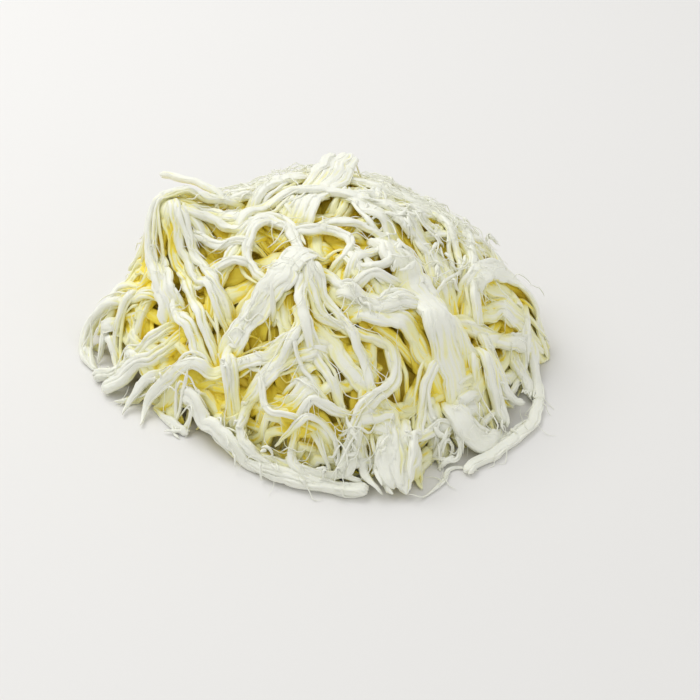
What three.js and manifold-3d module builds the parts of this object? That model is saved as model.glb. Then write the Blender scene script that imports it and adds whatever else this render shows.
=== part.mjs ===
// A heap of pulled string cheese, lying as it was dropped: one fused solid.
// Millimetres, +Z up. The heap rests on z = 0; +X is its right, +Y its back.
// The origin is on the surface it rests on, under the middle of its box.
import * as THREE from 'three';
import { mergeVertices } from 'three/addons/utils/BufferGeometryUtils.js';
import Module from 'manifold-3d';

// ---- driving dimensions ----------------------------------------------------

const HEAP_HEIGHT = 58;          // bare mound, before the top strands lie on it
const HEAP_RADIUS = 92;          // mean reach of the mound on the table
const MOUND_ROUNDNESS = 0.75;    // power of the mound's profile: 1 is a paraboloid
const BOX_MIDDLE = [0.2, -3.6];  // middle of the finished box, seen from the mound's top

// Bays in the mound's outline: [direction in degrees, half width in degrees, depth in mm].
const BAYS = [[230, 32, 18], [128, 26, 9], [45, 30, 7]];

// Folded lobes round the mound: [x, y, half length in x, half length in y, height].
const LOBES = [
  [-72, 4, 25, 25, 21],
  [-51, 8, 19, 20, 56],
  [73, -8, 22, 20, 26],
  [62, 24, 20, 16, 20],
  [30, -82, 15, 14, 13],
  [78, -38, 12, 20, 9],
  [-66, -34, 16, 12, 12],
];

const CORE_DEPTH = 2;            // how far the core's top lies under the mound's
const CORE_INSET = 1.09;         // mound's outline over the core's
const CORE_RIM = 1.2;            // height of the core's edge
const CORE_TURNS = 24;           // facets round the core
const CORE_RINGS = 6;            // facets from the core's edge to its top

const STATION = 2;               // spacing of the points that a strand is laid down with
const PILE_CELL = 2;             // cell of the height map of what already lies there
const PILE_REACH = 120;          // the height map covers this far each way
const PRESS = 1.2;               // how far a strand sinks into what it lies on
const NORMAL_STEP = 3;           // half the span that the mound's slope is taken over
const STEEPEST = 1.7;            // steepest slope that a strand is tilted by
const SAG_ROUNDS = 12;           // how stiffly a strand bridges a gap
const STRAND_SIDES = 5;
const STRAND_STEP = 13;          // spacing of a strand's rings of facets
const TAPER_LENGTH = 14;         // a torn end narrows over this length
const TORN = 0.35;               // width left at a torn end
const BLUNT = 0.88;              // width left at a cut end
const LOOSE_STRANDS = 26;
const GOLDEN_ANGLE = 137.5;      // degrees from one loose strand to the next

// ---- the strands -----------------------------------------------------------

// Each strand is a pulled bundle of fibres: its width and thickness, how far over the mound its
// middle may lie, and the points it passes, seen from above, as [x, y] or [x, y, raised by].
// cut marks strands whose far end is blunt. They are listed in the order they lie, lowest first.
const STRANDS = [
  // left lobe: cords folded back on themselves
  { name: 'left fold a', width: 4, thick: 3, lift: 1, route: [[-57, -3], [-69, 14], [-80, 17], [-86, 14]] },
  { name: 'left fold yellow', width: 8, thick: 6, lift: 0.5, route: [[-60, -8], [-66, -15], [-71, -23]] },
  { name: 'left fold outer', width: 6.5, thick: 5, lift: 3,
    route: [[-54, -16], [-66, -8], [-78, -1], [-88, 0], [-89, -9], [-84, -19]] },
  // left front: logs, sheet and rim
  { name: 'left log upper', width: 6, thick: 5, lift: 3, cut: true,
    route: [[-50, -26], [-63, -27], [-74, -25], [-84, -25]] },
  { name: 'left log lower', width: 6, thick: 5, lift: 2.5, cut: true,
    route: [[-45, -31], [-57, -32], [-68, -31], [-80, -33]] },
  { name: 'lower sheet', width: 10, thick: 4, lift: 1,
    route: [[-62, -36], [-49, -43], [-38, -51], [-31, -61], [-20, -72]] },
  { name: 'flat finger', width: 4.2, thick: 2.6, lift: 1, cut: true,
    route: [[-60, -42], [-54, -50], [-46, -58]] },
  { name: 'rim bundle', width: 8.5, thick: 4.5, lift: 1.5,
    route: [[-46, -50], [-39, -60], [-30, -69], [-20, -77], [-8, -83]] },
  { name: 'front log', width: 6.5, thick: 5, lift: 1.5, cut: true,
    route: [[-24, -75], [-13, -82], [0, -87], [20, -91]] },
  { name: 'middle sheet', width: 10, thick: 4, lift: 0.5,
    route: [[-18, -58], [-14, -66], [-4, -69], [4, -64]] },
  // front tip
  { name: 'tip left', width: 5.5, thick: 4, lift: 2, route: [[13, -69], [17, -78], [20, -87], [25, -94]] },
  { name: 'tip lump', width: 14, thick: 8, lift: 2.5, route: [[28, -70], [30, -80], [31, -88], [32, -95]] },
  { name: 'tip fold', width: 11, thick: 3.6, lift: 4, route: [[20, -68], [27, -72], [34, -78]] },
  { name: 'front curls', width: 9, thick: 6, lift: 1, route: [[43, -60], [47, -69], [48, -76]] },
  // right side
  { name: 'right leaf a', width: 7, thick: 4, lift: 1,
    route: [[70, -18], [77, -24], [82, -31], [82, -38]] },
  { name: 'right leaf c', width: 6.5, thick: 5, lift: 1.5,
    route: [[63, -38], [67, -47], [71, -52], [71, -58]] },
  { name: 'right fold inside', width: 10, thick: 5, lift: 1, route: [[58, -20], [72, -14], [86, -10]] },
  { name: 'right fold upper', width: 6, thick: 4, lift: 3,
    route: [[58, -18], [66, -6], [77, 3], [88, 0], [91, -7]] },
  { name: 'right fold lower', width: 7, thick: 4.5, lift: 3,
    route: [[54, -29], [65, -27], [76, -22], [88, -13]] },
  { name: 'rear leaf', width: 8, thick: 4, lift: 2, route: [[55, 15], [66, 26], [75, 26], [82, 22]] },
  { name: 'outer strand', width: 4.4, thick: 3.8, lift: 0.5, cut: true,
    route: [[80, -10], [84, -20], [85, -32], [84, -44], [79, -56], [71, -65], [62, -73], [55, -80]] },
  // long strap with drooping fingers
  { name: 'strap upper', width: 5, thick: 3.2, lift: 4.5,
    route: [[-2, -52], [-24, -50], [-42, -43], [-58, -37], [-68, -40], [-71, -47]] },
  { name: 'strap lower', width: 5, thick: 3.2, lift: 4,
    route: [[-4, -54], [-26, -52], [-43, -46], [-57, -42], [-63, -46], [-64, -53]] },
  // ropes down the left shoulder
  { name: 'left rope a', width: 6.5, thick: 5, lift: 3.5,
    route: [[-62, 10], [-58, -2], [-54, -12], [-50, -26], [-40, -43]] },
  { name: 'left rope b', width: 5.5, thick: 4.5, lift: 4,
    route: [[-55, 6], [-51, -4], [-45, -20], [-41, -32], [-35, -44]] },
  { name: 'left rope c', width: 6, thick: 4.5, lift: 4,
    route: [[-54, 12], [-50, -2], [-44, -14], [-33, -31]] },
  // shoulder and back edge
  { name: 'shoulder rope a', width: 6, thick: 4.5, lift: 3,
    route: [[-62, 16], [-48, 15], [-34, 20], [-20, 21]] },
  { name: 'shoulder rope b', width: 5, thick: 4, lift: 3, route: [[-50, 8], [-36, 5], [-22, -4]] },
  { name: 'back arc a', width: 6, thick: 4, lift: 3.5,
    route: [[-24, 14], [-17, 28], [-2, 35], [14, 33], [30, 28], [46, 24]] },
  { name: 'back tuft', width: 11, thick: 3.2, lift: 4, route: [[-3, 17], [1, 25], [5, 34, 4], [8, 41, 8]] },
  { name: 'right shoulder', width: 6, thick: 4.5, lift: 3.5,
    route: [[33, 26], [46, 27], [56, 21], [60, 6], [60, -8], [61, -22]] },
  { name: 'right rope', width: 5, thick: 4, lift: 4.5, route: [[46, 23], [53, 8], [56, -9], [57, -25]] },
  // top
  { name: 'top arc a', width: 5, thick: 3.6, lift: 5,
    route: [[2, 0], [14, -1], [25, -3], [31, -10], [36, -20]] },
  { name: 'web band a', width: 10, thick: 4, lift: 3.5,
    route: [[24, 14], [36, 5], [44, -3], [48, -14], [50, -26]] },
  { name: 'cross strand a', width: 5, thick: 3.6, lift: 4, route: [[12, -35], [24, -29], [37, -25]] },
  { name: 'web cord a', width: 5.5, thick: 3.6, lift: 5,
    route: [[-2, -22], [7, -30], [19, -42], [31, -47]] },
  { name: 'ridge band', width: 7.5, thick: 4, lift: 5,
    route: [[15, -42], [26, -44], [34, -43], [45, -52]] },
  { name: 'flat ribbon', width: 6.5, thick: 3, lift: 4.5,
    route: [[-1, -43], [7, -52], [13, -58], [22, -66]] },
  { name: 'tip column', width: 5, thick: 4, lift: 4.5,
    route: [[46, -49], [42, -57], [39, -68], [36, -80], [35, -91]] },
  { name: 'broad strap', width: 14, thick: 5.5, lift: 5.5,
    route: [[28, -8], [37, -25], [48, -43], [56, -58], [63, -65]] },
  { name: 'strap curl', width: 9, thick: 4.5, lift: 2.5,
    route: [[51, -60], [58, -67], [66, -64], [69, -56]] },
  { name: 'loop outer', width: 6, thick: 4.2, lift: 6.5,
    route: [[-25, -2], [-17, 2], [-10, -4], [-6, -12], [-3, -22]] },
  { name: 'loop inner', width: 5, thick: 4, lift: 5.5,
    route: [[-17, 0], [-23, -7], [-24, -15], [-15, -31]] },
  { name: 'knot left', width: 8, thick: 3.8, lift: 7,
    route: [[-1, -19], [-13, -29], [-24, -38], [-31, -48], [-28, -61]] },
  { name: 'knot column', width: 5, thick: 4, lift: 6,
    route: [[-4, -20], [-3, -45], [-10, -56], [-26, -63], [-24, -72], [-14, -80]] },
  { name: 'knot branch', width: 5, thick: 3.8, lift: 6,
    route: [[-4, -28], [-3, -46], [2, -57], [14, -73]] },
  { name: 'knot sweep', width: 6, thick: 3.8, lift: 6,
    route: [[-3, -23], [2, -42], [14, -48], [28, -50], [30, -59], [17, -72], [11, -87]] },
];

// ---- the mound and the pile ------------------------------------------------

const RANDOM_SEED = 20731;
let randomState = RANDOM_SEED;

function random() {
  randomState = (randomState * 1664525 + 1013904223) % 4294967296;
  return randomState / 4294967296;
}

function between(low, high) {
  return low + (high - low) * random();
}

// Reach of the mound in one direction, with its bays.
function moundReach(angle) {
  let reach = HEAP_RADIUS;
  for (const [middle, halfWidth, depth] of BAYS) {
    const off = ((angle - middle + 540) % 360) - 180;
    reach -= depth * Math.exp(-((off / halfWidth) ** 2));
  }
  return reach;
}

// Height of the mound that the strands lie on.
function moundHeight(x, y) {
  const angle = (THREE.MathUtils.radToDeg(Math.atan2(y, x)) + 360) % 360;
  const out = (x * x + y * y) / moundReach(angle) ** 2;
  let height = HEAP_HEIGHT * Math.max(0, 1 - out) ** MOUND_ROUNDNESS;
  for (const [middleX, middleY, halfX, halfY, top] of LOBES) {
    const inside = 1 - ((x - middleX) / halfX) ** 2 - ((y - middleY) / halfY) ** 2;
    height = Math.max(height, top * Math.sqrt(Math.max(0, inside)));
  }
  return height;
}

// Height of the core, which is lower and narrower than the mound.
function coreHeight(x, y) {
  return moundHeight(x * CORE_INSET, y * CORE_INSET) - CORE_DEPTH;
}

// The upward direction of the mound's skin, leaning no more than STEEPEST allows.
function moundNormal(x, y) {
  const step = NORMAL_STEP;
  const slopeX = (moundHeight(x + step, y) - moundHeight(x - step, y)) / (2 * step);
  const slopeY = (moundHeight(x, y + step) - moundHeight(x, y - step)) / (2 * step);
  const steep = Math.max(1, Math.hypot(slopeX, slopeY) / STEEPEST);
  return new THREE.Vector3(-slopeX / steep, -slopeY / steep, 1).normalize();
}

// Height map of what already lies there.
const pileCells = Math.round((2 * PILE_REACH) / PILE_CELL) + 1;
const pile = new Float64Array(pileCells * pileCells);

function pileIndex(x, y) {
  const column = Math.round((x + PILE_REACH) / PILE_CELL);
  const row = Math.round((y + PILE_REACH) / PILE_CELL);
  return row * pileCells + column;
}

function clearPile() {
  for (let row = 0; row < pileCells; row++) {
    for (let column = 0; column < pileCells; column++) {
      const x = column * PILE_CELL - PILE_REACH;
      const y = row * PILE_CELL - PILE_REACH;
      pile[row * pileCells + column] = Math.max(0, coreHeight(x, y));
    }
  }
}

// Lays a strand on the pile: returns its stations, each with a place, a width and a thickness.
function layDown({ width, thick, lift, route, cut }) {
  const flat = route.map(([x, y, raised]) => new THREE.Vector3(x, y, raised ?? 0));
  const curve = new THREE.CatmullRomCurve3(flat, false, 'catmullrom', 0.5);
  const length = curve.getLength();
  const count = Math.max(6, Math.round(length / STATION));
  const points = curve.getSpacedPoints(count);
  const support = points.map(({ x, y, z }) => {
    const onPile = pile[pileIndex(x, y)] + thick / 2 - PRESS;
    return Math.min(onPile, moundHeight(x, y) + lift) + z;
  });
  let heights = [...support];
  for (let round = 0; round < SAG_ROUNDS; round++) {
    heights = heights.map((height, i) => {
      const before = heights[Math.max(0, i - 1)];
      const after = heights[Math.min(count, i + 1)];
      return Math.max(support[i], (before + 2 * height + after) / 4);
    });
  }
  const stations = points.map(({ x, y }, i) => {
    const fromStart = i * (length / count);
    const fromEnd = length - fromStart;
    const start = TORN + (1 - TORN) * THREE.MathUtils.smoothstep(fromStart, 0, TAPER_LENGTH);
    const end = cut
      ? BLUNT + (1 - BLUNT) * THREE.MathUtils.smoothstep(fromEnd, 0, width / 2)
      : TORN + (1 - TORN) * THREE.MathUtils.smoothstep(fromEnd, 0, TAPER_LENGTH);
    const slim = Math.min(start, end);
    return {
      place: new THREE.Vector3(x, y, Math.max(heights[i], 0.4 * thick)),
      width: width * slim,
      thick: thick * Math.sqrt(slim),
    };
  });
  for (const { place, width: wide, thick: high } of stations) {
    for (let dx = -wide / 2; dx <= wide / 2; dx += 1) {
      for (let dy = -wide / 2; dy <= wide / 2; dy += 1) {
        const out = (2 * Math.hypot(dx, dy)) / wide;
        if (out > 1) continue;
        const top = place.z + (high / 2) * Math.sqrt(1 - out * out);
        const cell = pileIndex(place.x + dx, place.y + dy);
        pile[cell] = Math.max(pile[cell], top);
      }
    }
  }
  return stations;
}

// Strands laid first, by a rule: from near the top they swirl outwards to the table. Two in
// three lie on the back, where fewer strands follow.
function looseStrands() {
  const strands = [];
  for (let i = 0; i < LOOSE_STRANDS; i++) {
    const turn = (i * GOLDEN_ANGLE) % 360;
    const start = i % 3 === 0 ? turn : 5 + (170 * turn) / 360;
    const swirl = between(-30, 30);
    const inner = between(0.1, 0.6);
    const outer = between(0.9, 1.03);
    const width = between(5.5, 11);
    const route = [0, 0.35, 0.7, 1].map((along) => {
      const angle = start + swirl * (along - 0.5) * 2 + between(-7, 7);
      const radius = (inner + (outer - inner) * along) * (moundReach(angle) - width / 2);
      const radians = THREE.MathUtils.degToRad(angle);
      return [radius * Math.cos(radians), radius * Math.sin(radians)];
    });
    const thick = width * between(0.5, 0.7);
    strands.push({ name: `loose ${i}`, width, thick, lift: between(1, 3.5), route });
  }
  return strands;
}

// ---- solids ----------------------------------------------------------------

// A five-sided bar along the stations, an edge pressed down, closed at both ends.
function strandGeometry(stations) {
  const last = stations.length - 1;
  const steps = Math.max(3, Math.round((last * STATION) / STRAND_STEP));
  const geometry = new THREE.CylinderGeometry(1, 1, 1, STRAND_SIDES, steps, false, Math.PI);
  const position = geometry.attributes.position;
  for (let i = 0; i < position.count; i++) {
    const along = 0.5 - position.getY(i);
    const at = Math.round(along * last);
    const { place, width, thick } = stations[at];
    const before = stations[Math.max(0, at - 1)].place;
    const after = stations[Math.min(last, at + 1)].place;
    const forward = after.clone().sub(before).normalize();
    const side = moundNormal(place.x, place.y).cross(forward).normalize();
    const up = forward.clone().cross(side);
    const point = place.clone()
      .addScaledVector(side, (position.getX(i) * width) / 2)
      .addScaledVector(up, (position.getZ(i) * thick) / 2);
    position.setXYZ(i, point.x, point.y, point.z);
  }
  return geometry;
}

// The core: a low dome with the mound's uneven outline and a flat underside.
function coreGeometry() {
  const profile = [new THREE.Vector2(0, 0), new THREE.Vector2(1, 0)];
  for (let ring = 0; ring <= CORE_RINGS; ring++) {
    profile.push(new THREE.Vector2(Math.cos((ring / CORE_RINGS) * Math.PI / 2), 1));
  }
  profile[profile.length - 1].x = 0;
  const geometry = new THREE.LatheGeometry(profile, CORE_TURNS).rotateX(Math.PI / 2);
  const position = geometry.attributes.position;
  for (let i = 0; i < position.count; i++) {
    const turn = Math.atan2(position.getY(i), position.getX(i));
    const reach = coreReach(turn) * Math.hypot(position.getX(i), position.getY(i));
    const x = reach * Math.cos(turn);
    const y = reach * Math.sin(turn);
    const top = Math.abs(position.getZ(i)) > 0.5;
    position.setXYZ(i, x, y, top ? Math.max(CORE_RIM, coreHeight(x, y)) : 0);
  }
  return geometry;
}

// How far the core reaches in one direction, lobes and all.
function coreReach(turn) {
  let reach = 0;
  for (let r = 0; r < PILE_REACH; r += 1) {
    if (coreHeight(r * Math.cos(turn), r * Math.sin(turn)) > CORE_RIM) reach = r;
  }
  return reach;
}

const wasm = await Module();
wasm.setup();

function solidOf(geometry) {
  geometry.deleteAttribute('normal');
  geometry.deleteAttribute('uv');
  const merged = mergeVertices(geometry, 1e-4);
  return new wasm.Manifold(new wasm.Mesh({
    numProp: 3,
    vertProperties: new Float32Array(merged.attributes.position.array),
    triVerts: new Uint32Array(merged.index.array),
  }));
}

function geometryOf(solid) {
  const { vertProperties, triVerts } = solid.getMesh();
  const geometry = new THREE.BufferGeometry();
  geometry.setAttribute('position', new THREE.BufferAttribute(vertProperties, 3));
  geometry.setIndex(new THREE.BufferAttribute(triVerts, 1));
  geometry.computeVertexNormals();
  return geometry;
}

// All strands and the core as one solid, cut level where it rests. Loose scraps and the
// shells of sealed pockets are left out, so only the outer body stays.
function fusedHeap() {
  clearPile();
  let heap = solidOf(coreGeometry());
  for (const strand of [...looseStrands(), ...STRANDS]) {
    heap = heap.add(solidOf(strandGeometry(layDown(strand))));
  }
  const level = heap.trimByPlane([0, 0, 1], 0);
  const bodies = level.decompose();
  return bodies.reduce((largest, body) => (body.volume() > largest.volume() ? body : largest));
}

const cheese = new THREE.MeshStandardMaterial({ color: 0xf1eed4, roughness: 0.45, metalness: 0 });
const heap = new THREE.Mesh(geometryOf(fusedHeap()), cheese);
heap.name = 'cheese_heap';

const group = new THREE.Group();
group.add(heap);
group.position.set(-BOX_MIDDLE[0], -BOX_MIDDLE[1], 0);

export default group;
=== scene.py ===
import functools
import math

import bmesh
import bpy
import numpy as np
from bpy.props import (
    FloatProperty, FloatVectorProperty, IntProperty, PointerProperty,
)
from bpy.types import Operator, Panel, PropertyGroup
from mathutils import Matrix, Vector
from mathutils.kdtree import KDTree


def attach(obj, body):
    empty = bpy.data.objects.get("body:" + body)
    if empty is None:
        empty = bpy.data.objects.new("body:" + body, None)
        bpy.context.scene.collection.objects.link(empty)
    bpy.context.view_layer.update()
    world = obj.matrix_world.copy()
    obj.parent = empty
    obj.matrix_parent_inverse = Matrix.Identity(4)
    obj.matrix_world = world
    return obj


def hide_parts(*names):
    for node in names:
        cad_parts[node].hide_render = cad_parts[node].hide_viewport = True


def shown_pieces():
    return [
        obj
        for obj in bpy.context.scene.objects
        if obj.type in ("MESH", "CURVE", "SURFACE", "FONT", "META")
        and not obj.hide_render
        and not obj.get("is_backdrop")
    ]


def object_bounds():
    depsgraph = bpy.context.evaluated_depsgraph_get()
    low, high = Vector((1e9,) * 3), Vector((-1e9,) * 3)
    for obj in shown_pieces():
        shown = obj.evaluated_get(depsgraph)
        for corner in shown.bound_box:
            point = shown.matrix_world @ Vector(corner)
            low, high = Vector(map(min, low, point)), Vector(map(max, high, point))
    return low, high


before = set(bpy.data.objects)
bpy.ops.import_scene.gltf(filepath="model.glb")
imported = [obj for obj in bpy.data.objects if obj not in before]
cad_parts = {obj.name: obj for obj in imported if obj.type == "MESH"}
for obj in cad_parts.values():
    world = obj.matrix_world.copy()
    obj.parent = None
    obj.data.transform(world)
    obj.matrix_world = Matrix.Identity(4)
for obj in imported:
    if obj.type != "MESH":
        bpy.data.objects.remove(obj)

bl_info = {
    "name": "Pulled string cheese",
    "version": (1, 0, 0),
    "blender": (4, 5, 0),
    "location": "View3D > Sidebar > Cheese",
    "description": "Builds a loose heap of pulled string cheese round its packed solid",
    "category": "Add Mesh",
}

CAD_LOW, CAD_HIGH = (tuple(corner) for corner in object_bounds())
MM = 0.001
NODE = "cheese_heap"

# ---- driving sizes, in millimetres, as the solid has them ----------------------------

HEAP_HEIGHT = 58            # bare mound, before the top strands lie on it
HEAP_RADIUS = 92            # mean reach of the mound on the table
MOUND_ROUNDNESS = 0.75      # power of the mound's profile: 1 is a paraboloid
BOX_MIDDLE = np.array([0.2, -3.6, 0.0])   # middle of the box, seen from the mound's top

# Bays in the mound's outline: direction in degrees, half width in degrees, depth.
BAYS = [(230, 32, 18), (128, 26, 9), (45, 30, 7)]

# Folded lobes round the mound: x, y, half length in x, half length in y, height.
LOBES = [
    (-72, 4, 25, 25, 21), (-51, 8, 19, 20, 56), (73, -8, 22, 20, 26), (62, 24, 20, 16, 20),
    (30, -82, 15, 14, 13), (78, -38, 12, 20, 9), (-66, -34, 16, 12, 12),
]

CORE_DEPTH = 2              # how far the solid's core lies under the mound
CORE_INSET = 1.09           # mound's outline over the core's
CORE_RIM = 1.2              # height of the core's edge
STATION = 2                 # spacing of the points that a strand is laid down with
PILE_CELL = 2               # cell of the height map of what already lies there
PILE_REACH = 120            # the height map covers this far each way
PRESS = 1.2                 # how far a strand sinks into what it lies on
NORMAL_STEP = 3             # half the span that the mound's slope is taken over
STEEPEST = 1.7              # steepest slope that a strand is tilted by
SAG_ROUNDS = 12             # how stiffly a strand bridges a gap
TAPER_LENGTH = 14           # a torn end narrows over this length
TORN = 0.35                 # width left at a torn end
BLUNT = 0.88                # width left at a cut end
LOOSE_STRANDS = 26          # wide ones, laid first
GOLDEN_ANGLE = 137.5        # degrees from one loose strand to the next
RANDOM_SEED = 20731         # for the loose strands

# ---- sizes of the real strands, in millimetres ---------------------------------------

DIVE = 14                   # a hidden end runs on this far under its neighbours
DIVE_ONTO = 14              # but not where the mound is lower than this
SINK = 11                   # depth that it reaches
SHORT_SINK = 0.4            # share of that depth if it can't run on
UNDER_DIVE = 8              # depth that the ends of the under strands reach
SWAY = 0.5                  # how far a strand strays from its smooth line
FINE_RIBS = 0.35            # depth of the fine ribs, as a share of the main ones'
RAGGED = 7                  # parts of a torn end stop up to this far short of it
LOWEST = 0.15               # nothing comes closer to the table or to the sides of the box
SHORTEST = 7                # stations of the shortest strand
SPLITS_PER_MM = 0.045       # cords that part from each mm of strand
BACK_STRANDS = 44           # strands that lie across the loose ones at the back
FOOT_STRANDS = 26           # low strands along the foot at the back
FOLLOWED_ABOVE = 8          # no strand follows another where the mound is lower than this
SHARP_EDGE = 55             # in degrees, where two strands meet
THREAD_SIDES = 4            # facets round a thread
THREAD_RINGS = 8            # and along it
THREAD_DROOP = 0.5          # steepest slope that it hangs down at
THREAD_FALL = 7             # threads that would fall further are left out

# What each kind of strand is pulled into. Its members lie side by side along it: place across
# and up, width and thickness, each as a share of the whole. Then ribs per mm of width, depth of
# their creases as a share of the thickness, turns per mm that the members wind round each other
# or the ribs turn, waviness of the width, and boxiness of the section.
KINDS = {
    "rope": ([(-0.26, -0.06, 0.54, 0.76), (0.27, -0.02, 0.50, 0.70), (0.02, 0.12, 0.46, 0.62)],
             0.9, 0.18, 0.004, 0.09, 0.84),
    "strap": ([(-0.06, 0.0, 0.88, 0.80), (0.36, -0.04, 0.30, 0.62)],
              0.8, 0.15, 0.0, 0.05, 0.60),
    "sheet": ([(-0.22, 0.0, 0.62, 0.62), (0.24, -0.08, 0.56, 0.56), (0.0, 0.10, 0.40, 0.50),
               (-0.42, -0.14, 0.24, 0.42)], 0.9, 0.20, 0.0, 0.15, 0.66),
    "log": ([(-0.25, 0.0, 0.54, 0.92), (0.24, -0.05, 0.54, 0.88), (0.0, 0.14, 0.40, 0.70)],
            1.0, 0.16, 0.001, 0.04, 0.92),
    "cord": ([(-0.14, 0.0, 0.76, 0.84), (0.26, 0.04, 0.48, 0.70)],
             0.9, 0.18, 0.004, 0.09, 0.88),
    "fan": ([(-0.38, 0.0, 0.30, 0.60), (-0.14, 0.05, 0.34, 0.70), (0.12, 0.0, 0.34, 0.60),
             (0.36, 0.05, 0.30, 0.70)], 1.2, 0.25, 0.0, 0.10, 0.70),
    "stick": ([(0.0, 0.0, 1.0, 1.0)], 0.8, 0.08, 0.0, 0.02, 1.0),
    "swirl": ([(-0.32, 0.0, 0.40, 0.70), (-0.02, 0.06, 0.44, 0.78), (0.27, 0.0, 0.36, 0.66),
               (0.42, -0.08, 0.22, 0.50)], 1.0, 0.20, 0.002, 0.12, 0.86),
}

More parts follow.
